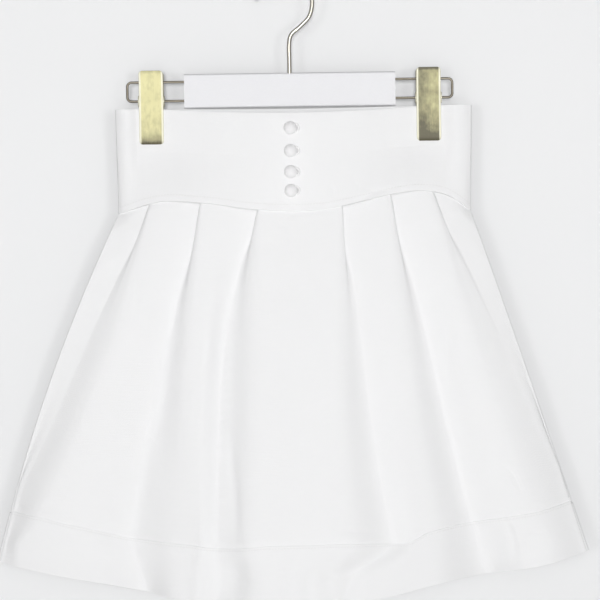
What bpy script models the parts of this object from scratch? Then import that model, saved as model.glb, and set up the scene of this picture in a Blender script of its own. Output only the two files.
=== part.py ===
"""Flared skirt with a high waistband, hanging from its clip hanger.

The skirt faces -Y, its left side in the picture is -X, and Z is up. The origin is the point under
the top of the hook where a rail or a nail carries the hanger. Blender lengths are in metres, and the
sizes and tables below are in millimetres.
"""
import math
from collections import namedtuple

import bmesh
import bpy
import numpy as np
from mathutils import Matrix, Vector

MM = 0.001
SEAM_GAP = 0.3
WAIST_GAP = 0.7

# Places of the two things that hang together
HANGER_X = 4.3
GARMENT_X = 7.5

# Waistband: flat half width, clip places, and how far each wall bows away from the other
BAND_HALF_TOP = 168.0
BAND_HALF_FOOT = 166.0
BAND_WALL = 2.4
BAND_TOP_Z = -128.7
BAND_FRONT_SAG = 6.3
BAND_BACK_SAG = 0.6
BAND_PANEL_SEAM = 87.0
CLIP_SPAN = 131.5
CLIP_PINCH = 1.6
CLIP_BITE = 0.46
CLIP_HOLD = 15.0
FRONT_BOW = 12.5
BACK_BOW = 5.5
BOW_POWER = 1.3
SAG_POWER = 1.2
END_LOOP = 3.2
BAND_SIDE_ROUND = 1.6
SIDE_PANEL_POINTS = 10
CENTRE_PANEL_POINTS = 11
BACK_PANEL_POINTS = 15
BAND_ROWS = (0.0, 0.22, 0.44, 0.58, 0.72, 0.86, 1.0)

# Skirt: depths of its two faces, cloth walls and the pleats' folded layers
WAIST_DEPTH = 14.0
FRONT_HEM_DEPTH = 49.0
BACK_HEM_DEPTH = 42.0
SIDE_LEAST_ROUND = 3.0
SIDE_FIRST_SHARE = 0.5
SIDE_TURN = 1.5
SIDE_ROOM = 2.0
OVAL_SPREAD_HEM = 1.10
SKIRT_WALL = 1.0
HEM_WALL = 1.6
LAYER = 2.4
TUCK = 19.0
PANEL_CROWN = 2.5
PANEL_DIP = 1.4

# Heights down the skirt, as shares of the way from the waist seam to the hem
MIDWAY = 0.5
HEM_SEAM = 0.862
HEM_SEAM_HALF_GAP = 0.0007
HEM_SHIFT = 0.09
SKIRT_ROWS = (0.0, 0.04, 0.10, 0.18, 0.29, 0.43, 0.58, 0.73, HEM_SEAM - HEM_SEAM_HALF_GAP)
HEM_ROWS = (HEM_SEAM + HEM_SEAM_HALF_GAP, 0.885, 0.91, 0.95, 1.0)

# A section's outline is a flattened oval, flatter at the waist than at the hem
Oval = namedtuple("Oval", "flatness roundness")
WAIST_OVAL = Oval(flatness=3.0, roundness=2.0)
HEM_OVAL = Oval(flatness=2.2, roundness=1.6)

# The least depth of each face, by the share of the way down
LeastDepth = namedtuple("LeastDepth", "down depth")
LEAST_DEPTHS = (
    LeastDepth(0.0, 2.2), LeastDepth(0.05, 5.5), LeastDepth(0.155, 8.2), LeastDepth(0.5, 11.0),
    LeastDepth(0.86, 10.0), LeastDepth(1.0, 9.0),
)

Side = namedtuple("Side", "waist mid hem")
LEFT_SIDE = Side(waist=166, mid=235, hem=284)
RIGHT_SIDE = Side(waist=166, mid=220, hem=272)

# Each pleat: the place of its fold at the waist, midway, at the hem band's seam and at the hem, how
# wide the valley outside the fold opens at the same four heights, how deep the valley is at the top,
# the seam and the hem, how far back the fold itself stands at the hem, and how much the valley's outer
# brim rises
Pleat = namedtuple(
    "Pleat", "waist mid seam hem open_top open_mid open_seam open_hem deep_top deep_seam deep_hem back brim"
)
FRONT_PLEATS = (
    Pleat(-137, -193, -249, -265, 30, 21, 25, 28, 4, 4, 2, 0, 0),
    Pleat(-89, -104, -113, -114, 32, 29, 46, 30, 10, 14, 14, 15, 0),
    Pleat(-35, -39, -41, -33, 56, 35, 37, 48, 17, 13, 17, 0, 3),
    Pleat(45, 39, 46, 16, 38, 28, 42, 24, 6, 14, 4, 0, 0),
    Pleat(91, 107, 127, 125, 34, 26, 36, 52, 7, 13, 18, 11, 0),
    Pleat(131, 183, 229, 240, 32, 22, 27, 30, 1, 2, 2, 0, 0),
)
BACK_PLEATS = (
    Pleat(-132, -185, -229, -240, 34, 23, 27, 30, 3, 4, 4, 0, 0),
    Pleat(-90, -106, -119, -127, 32, 28, 38, 36, 8, 13, 14, 11, 0),
    Pleat(-41, -44, -43, -46, 46, 33, 32, 36, 11, 13, 15, 0, 2),
    Pleat(43, 45, 48, 46, 46, 33, 34, 32, 11, 13, 12, 0, 1),
    Pleat(92, 106, 119, 127, 32, 28, 38, 36, 8, 13, 14, 11, 0),
    Pleat(134, 186, 229, 240, 34, 23, 27, 29, 3, 4, 4, 0, 0),
)

# The control points that carry the cloth round a pleat, from the outer panel to the inner one. Shut,
# at the waist: millimetres across from the fold, and layers behind it. Open: shares of the valley's
# width and of its depth, and of its brim.
FoldPoint = namedtuple("FoldPoint", "shut_across shut_layer open_across open_depth brim")
FOLD_POINTS = (
    FoldPoint(-TUCK + 5, 2, 1.12, 0.94, 1.0),
    FoldPoint(-TUCK, 2, 1.01, 0.99, 0.35),
    FoldPoint(-TUCK, 1, 0.93, 1.00, 0.0),
    FoldPoint(-TUCK + 5, 1, 0.72, 0.80, 0.0),
    FoldPoint(-4, 1, 0.45, 0.43, 0.0),
    FoldPoint(0, 1, 0.20, 0.13, 0.0),
    FoldPoint(0, 0, -0.05, 0.02, 0.0),
    FoldPoint(-5, 0, -0.30, 0.00, 0.0),
)
# Points across the cloth outside the first pleat, between two pleats that face the same way, across
# the box in the middle, and at each side seam
OUTER_POINTS = 1
PANEL_POINTS = 2
BOX_POINTS = 3
SEAM_POINTS = 3
# The spans round a pleat's two turns take two samples each and the others one. The ends take one
# more close to the side seam, so that the walls meet it squarely.
TURN_SPANS = (1, 5)
END_SQUARE = 0.2
OPENING_POWER = 0.55

# The waist seam and the hem as heights across the garment
HeightAt = namedtuple("HeightAt", "x z")
FRONT_WAIST = (
    HeightAt(-168, -228), HeightAt(-126, -217), HeightAt(-86, -219), HeightAt(-34, -226),
    HeightAt(30, -226), HeightAt(60, -220), HeightAt(92, -213), HeightAt(118, -210),
    HeightAt(148, -216), HeightAt(168, -230),
)
BACK_WAIST = (
    HeightAt(-168, -228), HeightAt(-128, -218), HeightAt(-60, -225), HeightAt(0, -227),
    HeightAt(70, -224), HeightAt(126, -217), HeightAt(168, -230),
)
FRONT_HEM = (
    HeightAt(-286, -553), HeightAt(-235, -565), HeightAt(-185, -575), HeightAt(-130, -587),
    HeightAt(-80, -593), HeightAt(0, -589), HeightAt(65, -591), HeightAt(137, -577),
    HeightAt(190, -570), HeightAt(245, -559), HeightAt(275, -550),
)
BACK_HEM = (
    HeightAt(-286, -553), HeightAt(-200, -571), HeightAt(-120, -585), HeightAt(-40, -588),
    HeightAt(40, -590), HeightAt(120, -583), HeightAt(200, -567), HeightAt(275, -550),
)

Face = namedtuple("Face", "towards pleats waist hem hem_depth bow sag")
FRONT = Face(-1, FRONT_PLEATS, FRONT_WAIST, FRONT_HEM, FRONT_HEM_DEPTH, FRONT_BOW, BAND_FRONT_SAG)
BACK = Face(1, BACK_PLEATS, BACK_WAIST, BACK_HEM, BACK_HEM_DEPTH, BACK_BOW, BAND_BACK_SAG)

# Buttons and their loops
BUTTON_X = -3.2
BUTTON_HEIGHTS = (-149.5, -171.0, -190.8, -208.6)
BUTTON_RADIUS = 6.2
BUTTON_CROWN = 4.4
BUTTON_RIM = 0.8
BUTTON_UNDERCUT = 0.5
BUTTON_STEPS = 14
SHANK_RADIUS = 2.2
SHANK_HEIGHT = 3.0
LOOP_CORD = 2.0
LOOP_RADIUS = 3.6
LOOP_REACH = 8.0
LOOP_STEPS = 16
PANEL_REACH = 4.0

# Hanger
HOOK_WIRE = 3.9
HOOK_RADIUS = 26.6
HOOK_STEPS = 12
HOOK_TIP = 0.8
FRAME_WIRE = 2.4
FRAME_HALF = 154.3
FRAME_TOP_Z = -103.0
FRAME_FOOT_Z = -121.0
FRAME_CORNER = 4.0
FRAME_CORNER_POINTS = 5
SLEEVE_HALF = 100.2
SLEEVE_TOP_Z = -95.8
SLEEVE_FOOT_Z = -128.1
SLEEVE_HALF_DEPTH = 2.6
SLEEVE_WALL = 0.8
SLEEVE_CORNER = 1.6
SLEEVE_CORNER_POINTS = 4
STEM_HOLE_RADIUS = 2.5
STEM_HOLE_DEPTH = 6.0
CLIP_WIDTH = 22.5
CLIP_SHEET = 1.2
PIVOT_BORE = 1.55
PIVOT_RADIUS = 3.4
PIVOT_STEPS = 14
FLANGE_RADIUS = 5.4
FLANGE_SHEET = 0.8
FLANGE_GAP = 0.4

# The hook's stem and its bend to the side, before the round part
HookPoint = namedtuple("HookPoint", "x z")
HOOK_ROUTE = (
    HookPoint(HANGER_X, -101.4), HookPoint(HANGER_X, -84.0), HookPoint(HANGER_X, -68.0),
    HookPoint(6.6, -59.2), HookPoint(14.9, -51.9), HookPoint(23.2, -43.2), HookPoint(26.4, -33.5),
)

# A clip's front plate from its finger end down to its jaw: distance out from the hanger's plane
PlateStep = namedtuple("PlateStep", "z out")
PLATE_STEPS = (
    PlateStep(-93.0, 7.2), PlateStep(-97.0, 6.3), PlateStep(-104.0, 5.1), PlateStep(-112.0, 4.5),
    PlateStep(-121.0, 4.4), PlateStep(-130.0, 4.05), PlateStep(-140.0, 3.85), PlateStep(-156.0, 3.85),
    PlateStep(-160.0, 4.0), PlateStep(-162.0, 4.6),
)

# Finishes: colour, roughness and metallic value
Finish = namedtuple("Finish", "colour roughness metallic")
FINISHES = {
    "cloth": Finish((0.90, 0.895, 0.885), 0.85, 0.0),
    "brass": Finish((0.62, 0.53, 0.30), 0.35, 1.0),
    "wire": Finish((0.55, 0.50, 0.40), 0.30, 1.0),
    "card": Finish((0.88, 0.88, 0.90), 0.55, 0.0),
}


def clear_scene():
    for thing in list(bpy.data.objects):
        bpy.data.objects.remove(thing, do_unlink=True)


def collection(name):
    made = bpy.data.collections.new(name)
    bpy.context.scene.collection.children.link(made)
    return made


def finish_material(name):
    finish = FINISHES[name]
    made = bpy.data.materials.new(name)
    made.use_nodes = True
    shader = made.node_tree.nodes["Principled BSDF"]
    shader.inputs["Base Color"].default_value = (*finish.colour, 1.0)
    shader.inputs["Roughness"].default_value = finish.roughness
    shader.inputs["Metallic"].default_value = finish.metallic
    return made


def smooth_step(share):
    share = np.clip(share, 0.0, 1.0)
    return share * share * (3.0 - 2.0 * share)


def between(start, end, share):
    return start + (end - start) * share


def height_at(x, rows):
    """Height at x on a smooth curve through the rows: cubic Hermite spans with central slopes."""
    xs = np.array([row.x for row in rows], float)
    zs = np.array([row.z for row in rows], float)
    slopes = np.gradient(zs, xs)
    x = np.clip(x, xs[0], xs[-1])
    span = np.clip(np.searchsorted(xs, x) - 1, 0, len(xs) - 2)
    width = xs[span + 1] - xs[span]
    t = (x - xs[span]) / width
    start = zs[span] * (2 * t**3 - 3 * t**2 + 1) + slopes[span] * width * (t**3 - 2 * t**2 + t)
    end = zs[span + 1] * (3 * t**2 - 2 * t**3) + slopes[span + 1] * width * (t**3 - t**2)
    return start + end


def side_reach(side, down):
    """Half width at a height: the parabola through the side's waist, midway and hem widths."""
    bend = 2 * (side.waist - 2 * side.mid + side.hem)
    return side.waist + (side.hem - side.waist - bend) * down + bend * down * down


def oval_depth(x, reach, depth, flatness, roundness):
    """Depth of a flattened oval at x: depth * (1 - |x / reach| ** flatness) ** (1 / roundness)."""
    share = np.clip(np.abs(x) / reach, 0.0, 1.0)
    return depth * (1.0 - share**flatness) ** (1.0 / roundness)


def spline_weights(count, places):
    """Uniform cubic B-spline weights, a row per place, with the curve's ends on the end points."""
    weights = np.zeros((len(places), count))
    for row, place in enumerate(places):
        knot = min(int(place), count - 2)
        f = place - knot
        blend = (
            (1 - f) ** 3 / 6,
            (3 * f**3 - 6 * f**2 + 4) / 6,
            (-3 * f**3 + 3 * f**2 + 3 * f + 1) / 6,
            f**3 / 6,
        )
        for step, weight in enumerate(blend):
            point = knot - 1 + step
            if point < 0:
                weights[row, 0] += 2 * weight
                weights[row, 1] -= weight
            elif point >= count:
                weights[row, count - 1] += 2 * weight
                weights[row, count - 2] -= weight
            else:
                weights[row, point] += weight
    return weights


def fold_place(pleat, down):
    """Where the fold lies: a parabola down to the hem band's seam, then a short ease to its hem place."""
    if down > HEM_SEAM:
        return between(pleat.seam, pleat.hem, float(smooth_step((down - HEM_SEAM) / HEM_SHIFT)))
    first = (pleat.mid - pleat.waist) / MIDWAY
    second = (pleat.seam - pleat.mid) / (HEM_SEAM - MIDWAY)
    bend = (second - first) / HEM_SEAM
    return pleat.waist + first * down + bend * down * (down - MIDWAY)


def valley_width(pleat, down):
    """Width of the valley outside the fold, held to the room that is left up to the side."""
    widths = (pleat.open_top, pleat.open_mid, pleat.open_seam, pleat.open_hem)
    width = float(np.interp(down, (0.0, MIDWAY, HEM_SEAM, 1.0), widths))
    side = LEFT_SIDE if pleat.waist < 0 else RIGHT_SIDE
    room = side_reach(side, down) - SIDE_TURN * down - SIDE_ROOM - abs(fold_place(pleat, down))
    return min(width, room / FOLD_POINTS[0].open_across)


def opened(down):
    """How far the pleats have opened: 0 at the waist seam, 1 from midway down, fastest at the top."""
    return min(1.0, down / MIDWAY) ** OPENING_POWER


def valley_depth(pleat, down):
    return float(np.interp(down, (0.0, HEM_SEAM, 1.0), (pleat.deep_top, pleat.deep_seam, pleat.deep_hem)))


def pleat_points(pleat, down):
    """Points round one pleat, from its outer panel to its inner one, as (x, depth behind)."""
    outward = math.copysign(1.0, pleat.waist)
    fold = fold_place(pleat, down)
    width = valley_width(pleat, down)
    depth = valley_depth(pleat, down)
    share = opened(down)
    points = []
    for point in FOLD_POINTS:
        across = between(point.shut_across, point.open_across * width, share)
        opened_out = point.open_depth * depth - point.brim * pleat.brim * (1 - down) + pleat.back * down
        behind = between(point.shut_layer * LAYER, opened_out, share)
        points.append((fold + outward * across, behind))
    return points


def panel_points(start, end, layers, share, crown, count):
    """Points across a flat panel between two pleats, sloping back and crowned a little."""
    points = []
    for step in range(1, count + 1):
        t = step / (count + 1)
        x = start[0] + (end[0] - start[0]) * t
        sloped = between(start[1], end[1], t**PANEL_DIP)
        flat = layers * LAYER * t
        behind = (1 - share) * flat + share * sloped - crown * share * math.sin(math.pi * t)
        points.append((x, behind))
    return points


def face_points(face, down):
    """Control points of one face's section, from the left side seam to the right: x and y."""
    share = opened(down)
    left = side_reach(LEFT_SIDE, down)
    right = side_reach(RIGHT_SIDE, down)
    crown = PANEL_CROWN * down
    half = len(face.pleats) // 2
    runs = [pleat_points(pleat, down) for pleat in face.pleats]
    for index in range(half, len(runs)):
        runs[index].reverse()
    seam_behind = (runs[0][0][1], runs[-1][-1][1])
    points = panel_points((-left, seam_behind[0]), runs[0][0], 1, share, 0.0, OUTER_POINTS)
    for index, run in enumerate(runs):
        points += run
        if index == len(runs) - 1:
            points += panel_points((right, seam_behind[1]), run[-1], 1, share, 0.0, OUTER_POINTS)
        elif index == half - 1:
            points += panel_points(run[-1], runs[index + 1][0], 0, share, crown, BOX_POINTS)
        elif index < half:
            points += panel_points(run[-1], runs[index + 1][0], 2, share, crown, PANEL_POINTS)
        else:
            points += panel_points(runs[index + 1][0], run[-1], 2, share, crown, PANEL_POINTS)[::-1]
    x = np.array([point[0] for point in points])
    behind = np.array([point[1] for point in points])
    oval = (
        between(WAIST_DEPTH, face.hem_depth, down),
        between(WAIST_OVAL.flatness, HEM_OVAL.flatness, down),
        between(WAIST_OVAL.roundness, HEM_OVAL.roundness, down),
    )
    least = float(np.interp(down, *zip(*LEAST_DEPTHS)))
    spread = between(1.0, OVAL_SPREAD_HEM, down)
    y = np.maximum(oval_depth(x, np.where(x < 0, left, right) * spread, *oval) - behind, least)
    turn = SIDE_TURN * down
    corners = []
    for reach, seam in zip((left, right), seam_behind):
        end = float(oval_depth(reach - turn, reach * spread, *oval)) - seam * share
        end = max(end, SIDE_LEAST_ROUND, least)
        corners.append([SEAM_GAP / 2, end * SIDE_FIRST_SHARE, end])
    x = np.concatenate(([-left, -left, turn - left], x, [right - turn, right, right]))
    y = np.concatenate((corners[0], y, corners[1][::-1]))
    return x, face.towards * y


def sample_places(face):
    """Places along the control points: one a span, and two round the turns of each pleat."""
    half = len(face.pleats) // 2
    turns = [2 if step in TURN_SPANS else 1 for step in range(len(FOLD_POINTS) - 1)]
    places = []
    span = 0
    plan = [1] * (SEAM_POINTS + OUTER_POINTS)
    for index in range(len(face.pleats)):
        plan += turns if index < half else turns[::-1]
        if index == half - 1:
            plan += [1] * (BOX_POINTS + 1)
        elif index < len(face.pleats) - 1:
            plan += [1] * (PANEL_POINTS + 1)
    plan += [1] * (SEAM_POINTS + OUTER_POINTS)
    for samples in plan:
        places += [span + step / samples for step in range(samples)]
        span += 1
    places.insert(1, END_SQUARE)
    return places + [span - END_SQUARE, float(span)]


def face_grid(face, rows):
    """The face's middle surface: rows down the skirt by samples across it, as x, y and z."""
    waist = np.stack(face_points(face, 0.0), axis=1)
    hem = np.stack(face_points(face, 1.0), axis=1)
    weights = spline_weights(len(waist), sample_places(face))
    top = height_at((weights @ waist)[:, 0], face.waist) - WAIST_GAP
    foot = height_at((weights @ hem)[:, 0], face.hem)
    grid = []
    for down in rows:
        section = weights @ np.stack(face_points(face, down), axis=1)
        grid.append(np.column_stack([section, between(top, foot, down)]))
    return np.array(grid)


def band_depth(x, down, face):
    """Half depth of the waistband: bowed between the clips, pinched at them, an oval at its foot."""
    reach = between(BAND_HALF_TOP, BAND_HALF_FOOT, down)
    clip = np.where(x < 0, CLIP_SPAN - HANGER_X + GARMENT_X, CLIP_SPAN + HANGER_X - GARMENT_X)
    inside = np.clip(1 - (x / (clip - CLIP_HOLD)) ** 2, 0.0, 1.0)
    past = np.clip((np.abs(x) - clip - CLIP_HOLD) / (reach - clip - CLIP_HOLD), 0.0, 1.0)
    bowed = CLIP_PINCH + face.bow * inside**BOW_POWER
    top = bowed + END_LOOP * np.sin(math.pi * past)
    foot = oval_depth(x, reach, WAIST_DEPTH, *WAIST_OVAL)
    return between(top, foot, smooth_step((down - CLIP_BITE) / (1 - CLIP_BITE)))


def band_heights(x, face):
    """Top and foot of the waistband at x: the top sags between the clips."""
    sag = np.clip(1 - (x / CLIP_SPAN) ** 2, 0.0, 1.0) ** SAG_POWER
    top = BAND_TOP_Z - face.sag * sag
    return top, height_at(x, face.waist)


def band_grid(face, start, end, count):
    """One waistband panel between two places across, given as x at its foot.

    A panel that reaches the side turns there and ends at the side seam, square to it.
    """
    turns = np.linspace(math.asin(start / BAND_HALF_FOOT), math.asin(end / BAND_HALF_FOOT), count)
    across = np.sin(turns)
    grid = []
    for down in BAND_ROWS:
        x = across * between(BAND_HALF_TOP, BAND_HALF_FOOT, down)
        y = np.maximum(band_depth(x, down, face), BAND_SIDE_ROUND)
        if start == -BAND_HALF_FOOT:
            x = np.concatenate(([x[0]], x))
            y = np.concatenate(([SEAM_GAP / 2], y))
        if end == BAND_HALF_FOOT:
            x = np.concatenate((x, [x[-1]]))
            y = np.concatenate((y, [SEAM_GAP / 2]))
        top, foot = band_heights(x, face)
        grid.append(np.stack([x, face.towards * y, between(top, foot, down)], axis=1))
    return np.array(grid)


def add_object(name, mesh, group, material):
    made = bpy.data.objects.new(name, mesh)
    made.data.materials.append(material)
    group.objects.link(made)
    return made


def add_sheet(name, grid, wall, group, material, shift=GARMENT_X):
    """A wall of even thickness centred on a grid of points."""
    rows, columns, _ = grid.shape
    points = (grid.reshape(-1, 3) + np.array([shift, 0.0, 0.0])) * MM
    first = np.arange(rows - 1)[:, None] * columns + np.arange(columns - 1)[None, :]
    corners = np.stack([first, first + 1, first + columns + 1, first + columns], axis=-1).reshape(-1, 4)
    mesh = bpy.data.meshes.new(name)
    mesh.from_pydata(points.tolist(), [], corners.tolist())
    mesh.shade_smooth()
    made = add_object(name, mesh, group, material)
    solidify = made.modifiers.new("wall", "SOLIDIFY")
    solidify.thickness = wall * MM
    solidify.offset = 0.0
    solidify.use_quality_normals = True
    return made


def add_wire(name, points, diameter, group, material, cyclic=False, sides=2):
    """A round wire through the points."""
    curve = bpy.data.curves.new(name, "CURVE")
    curve.dimensions = "3D"
    curve.bevel_depth = diameter / 2 * MM
    curve.bevel_resolution = sides
    curve.use_fill_caps = True
    spline = curve.splines.new("POLY")
    spline.points.add(len(points) - 1)
    for place, point in zip(spline.points, points):
        place.co = (point[0] * MM, point[1] * MM, point[2] * MM, 1.0)
    spline.use_cyclic_u = cyclic
    return add_object(name, curve, group, material)


def add_turned(name, profile, group, material, steps, placing):
    """A profile of radius and height pairs turned about its own Z axis, then placed."""
    mesh = bpy.data.meshes.new(name)
    points = [(radius * MM, 0.0, height * MM) for radius, height in profile]
    edges = [(index, index + 1) for index in range(len(points) - 1)]
    if profile[0][0] > 0:
        edges.append((len(points) - 1, 0))
    mesh.from_pydata(points, edges, [])
    made = add_object(name, mesh, group, material)
    made.matrix_world = placing
    screw = made.modifiers.new("turned", "SCREW")
    screw.steps = steps
    screw.render_steps = steps
    screw.use_merge_vertices = True
    screw.merge_threshold = 0.00001
    return made


def build_skirt(group, cloth):
    """Front in one piece, the back in two with a seam down its middle, and the same hem bands."""
    middle = face_centre_column(BACK)
    for rows, kind, wall in ((SKIRT_ROWS, "skirt", SKIRT_WALL), (HEM_ROWS, "hem_band", HEM_WALL)):
        add_sheet(kind + "_front", face_grid(FRONT, rows), wall, group, cloth)
        back = face_grid(BACK, rows)
        left = back[:, : middle + 1].copy()
        right = back[:, middle:].copy()
        left[:, -1, 0] -= SEAM_GAP / 2
        right[:, 0, 0] += SEAM_GAP / 2
        add_sheet(kind + "_back_left", left, wall, group, cloth)
        add_sheet(kind + "_back_right", right, wall, group, cloth)


def face_centre_column(face):
    """The sample nearest the middle of the face's centre panel."""
    hem_row = face_grid(face, (1.0,))[0]
    return int(np.argmin(np.abs(hem_row[:, 0])))


def build_band(group, cloth):
    """Three panels across the front, and two across the back that meet in the middle."""
    half_gap = SEAM_GAP / 2
    seam = BAND_PANEL_SEAM
    edge = BAND_HALF_FOOT
    panels = (
        ("band_front_left", FRONT, -edge, -seam - half_gap, SIDE_PANEL_POINTS),
        ("band_front_centre", FRONT, -seam + half_gap, seam - half_gap, CENTRE_PANEL_POINTS),
        ("band_front_right", FRONT, seam + half_gap, edge, SIDE_PANEL_POINTS),
        ("band_back_left", BACK, -edge, -half_gap, BACK_PANEL_POINTS),
        ("band_back_right", BACK, half_gap, edge, BACK_PANEL_POINTS),
    )
    for name, face, start, end, count in panels:
        add_sheet(name, band_grid(face, start, end, count), BAND_WALL, group, cloth)


def band_placing(x, z):
    """Frame on the front waistband's outer face: its Z axis points out of the cloth."""
    def outer(x_at, z_at):
        top, foot = band_heights(np.array([x_at]), FRONT)
        down = float((z_at - top[0]) / (foot[0] - top[0]))
        y = -float(band_depth(np.array([x_at]), down, FRONT)[0]) - BAND_WALL / 2
        return Vector((x_at + GARMENT_X, y, z_at))
    across = (outer(x + PANEL_REACH, z) - outer(x - PANEL_REACH, z)).normalized()
    up = (outer(x, z + PANEL_REACH) - outer(x, z - PANEL_REACH)).normalized()
    out = across.cross(up)
    up = out.cross(across)
    place = outer(x, z) * MM
    frame = Matrix((across, up, out)).transposed().to_4x4()
    return Matrix.Translation(place) @ frame


def build_buttons(group, cloth):
    """Four covered dome buttons on shanks, each held in a cord loop that shows on its right."""
    foot = SEAM_GAP
    rim = foot + SHANK_HEIGHT
    dome = []
    for turn in np.linspace(0.0, math.pi / 2, BUTTON_STEPS // 2):
        height = rim + BUTTON_RIM + BUTTON_CROWN * math.cos(turn)
        dome.append((BUTTON_RADIUS * math.sin(turn), height))
    under = [
        (BUTTON_RADIUS - BUTTON_UNDERCUT, rim), (SHANK_RADIUS, rim), (SHANK_RADIUS, foot), (0.0, foot),
    ]
    loop_height = foot + LOOP_CORD / 2
    for number, height in enumerate(BUTTON_HEIGHTS, start=1):
        placing = band_placing(BUTTON_X, height)
        add_turned(f"button_{number}", dome + under, group, cloth, BUTTON_STEPS, placing)
        ring = []
        for step in range(LOOP_STEPS):
            turn = 2 * math.pi * (step + 0.5) / LOOP_STEPS
            reach = LOOP_REACH - LOOP_RADIUS if math.cos(turn) > 0 else 0.0
            ring.append((reach + LOOP_RADIUS * math.cos(turn), LOOP_RADIUS * math.sin(turn), loop_height))
        loop = add_wire(f"button_loop_{number}", ring, LOOP_CORD, group, cloth, cyclic=True, sides=1)
        loop.matrix_world = placing


def smooth_route(points, per_span):
    """Points along a Catmull-Rom curve through the given points."""
    route = [np.array(point, float) for point in points]
    ends = [2 * route[0] - route[1]] + route + [2 * route[-1] - route[-2]]
    made = []
    for index in range(1, len(ends) - 2):
        before, start, end, after = ends[index - 1 : index + 3]
        for step in range(per_span):
            t = step / per_span
            made.append(
                0.5 * (2 * start + (end - before) * t + (2 * before - 5 * start + 4 * end - after) * t * t
                       + (3 * start - before - 3 * end + after) * t**3)
            )
    return made + [route[-1]]


def build_hook(group, wire):
    """Stem, bend to the side and a half circle over the rail, open on the left."""
    centre_z = HOOK_WIRE / 2 - HOOK_RADIUS
    round_part = []
    for turn in np.linspace(0.0, math.pi, HOOK_STEPS + 1):
        round_part.append((HOOK_RADIUS * math.cos(turn), 0.0, centre_z + HOOK_RADIUS * math.sin(turn)))
    stem = smooth_route([(point.x, 0.0, point.z) for point in HOOK_ROUTE] + round_part[:1], 2)
    tip = [(-HOOK_RADIUS, 0.0, centre_z - HOOK_TIP)]
    add_wire("hanger_hook", stem[:-1] + round_part + tip, HOOK_WIRE, group, wire)


def build_frame(group, wire):
    """A closed rounded rectangle of wire."""
    points = []
    corners = (
        (FRAME_HALF, FRAME_TOP_Z, 0), (-FRAME_HALF, FRAME_TOP_Z, 90),
        (-FRAME_HALF, FRAME_FOOT_Z, 180), (FRAME_HALF, FRAME_FOOT_Z, 270),
    )
    for x, z, start in corners:
        middle_x = x - math.copysign(FRAME_CORNER, x)
        middle_z = z - FRAME_CORNER if z == FRAME_TOP_Z else z + FRAME_CORNER
        for turn in np.radians(np.linspace(start, start + 90, FRAME_CORNER_POINTS)):
            points.append((
                HANGER_X + middle_x + FRAME_CORNER * math.cos(turn), 0.0,
                middle_z + FRAME_CORNER * math.sin(turn),
            ))
    add_wire("hanger_frame", points, FRAME_WIRE, group, wire, cyclic=True)


def build_sleeve(group, cutters, card):
    """A folded card sleeve round both wires, open at its ends, with a hole for the stem."""
    middle_z = (SLEEVE_TOP_Z + SLEEVE_FOOT_Z) / 2
    half_height = (SLEEVE_TOP_Z - SLEEVE_FOOT_Z) / 2 - SLEEVE_WALL / 2
    half_depth = SLEEVE_HALF_DEPTH
    corner = SLEEVE_CORNER
    ring = []
    for sign_y, sign_z, start in ((1, 1, 0), (-1, 1, 90), (-1, -1, 180), (1, -1, 270)):
        for turn in np.radians(np.linspace(start, start + 90, SLEEVE_CORNER_POINTS)):
            ring.append((
                sign_y * (half_depth - corner) + corner * math.cos(turn),
                middle_z + sign_z * (half_height - corner) + corner * math.sin(turn),
            ))
    points = []
    for x in (-SLEEVE_HALF, SLEEVE_HALF):
        points += [((HANGER_X + x) * MM, y * MM, z * MM) for y, z in ring]
    count = len(ring)
    faces = [(i, (i + 1) % count, count + (i + 1) % count, count + i) for i in range(count)]
    mesh = bpy.data.meshes.new("hanger_sleeve")
    mesh.from_pydata(points, [], faces)
    sleeve = add_object("hanger_sleeve", mesh, group, card)
    solidify = sleeve.modifiers.new("card", "SOLIDIFY")
    solidify.thickness = SLEEVE_WALL * MM
    solidify.offset = 0.0
    solidify.use_even_offset = True
    hole = bpy.data.meshes.new("stem_hole")
    shape = bmesh.new()
    bmesh.ops.create_cone(
        shape, cap_ends=True, segments=12, radius1=STEM_HOLE_RADIUS * MM, radius2=STEM_HOLE_RADIUS * MM,
        depth=STEM_HOLE_DEPTH * MM, matrix=Matrix.Translation((HANGER_X * MM, 0.0, SLEEVE_TOP_Z * MM)),
    )
    shape.to_mesh(hole)
    shape.free()
    cutter = bpy.data.objects.new("stem_hole", hole)
    cutters.objects.link(cutter)
    cutter.hide_render = True
    cutter.display_type = "WIRE"
    cut = sleeve.modifiers.new("stem hole", "BOOLEAN")
    cut.object = cutter
    cut.operation = "DIFFERENCE"


def build_clips(group, brass):
    """Each clip: two bent plates that grip the waistband, on a spool round the frame's lower wire."""
    inner = CLIP_WIDTH / 2 + FLANGE_GAP
    outer = inner + FLANGE_SHEET
    spool = [
        (PIVOT_BORE, outer), (FLANGE_RADIUS, outer), (FLANGE_RADIUS, inner), (PIVOT_RADIUS, inner),
        (PIVOT_RADIUS, -inner), (FLANGE_RADIUS, -inner), (FLANGE_RADIUS, -outer), (PIVOT_BORE, -outer),
    ]
    for side, sign in (("left", -1), ("right", 1)):
        middle = HANGER_X + sign * CLIP_SPAN
        for face, towards in (("front", -1), ("back", 1)):
            rows = []
            for step in PLATE_STEPS:
                rows.append([(middle + across * CLIP_WIDTH / 2, towards * step.out, step.z)
                             for across in (-1.0, 1.0)])
            plate = add_sheet(f"clip_{side}_{face}", np.array(rows), CLIP_SHEET, group, brass, shift=0.0)
            plate.modifiers["wall"].use_even_offset = True
        on_wire = Matrix.Translation((middle * MM, 0.0, FRAME_FOOT_Z * MM))
        along_wire = Matrix.Rotation(math.pi / 2, 4, "Y")
        add_turned(f"clip_{side}_pivot", spool, group, brass, PIVOT_STEPS, on_wire @ along_wire)


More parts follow.
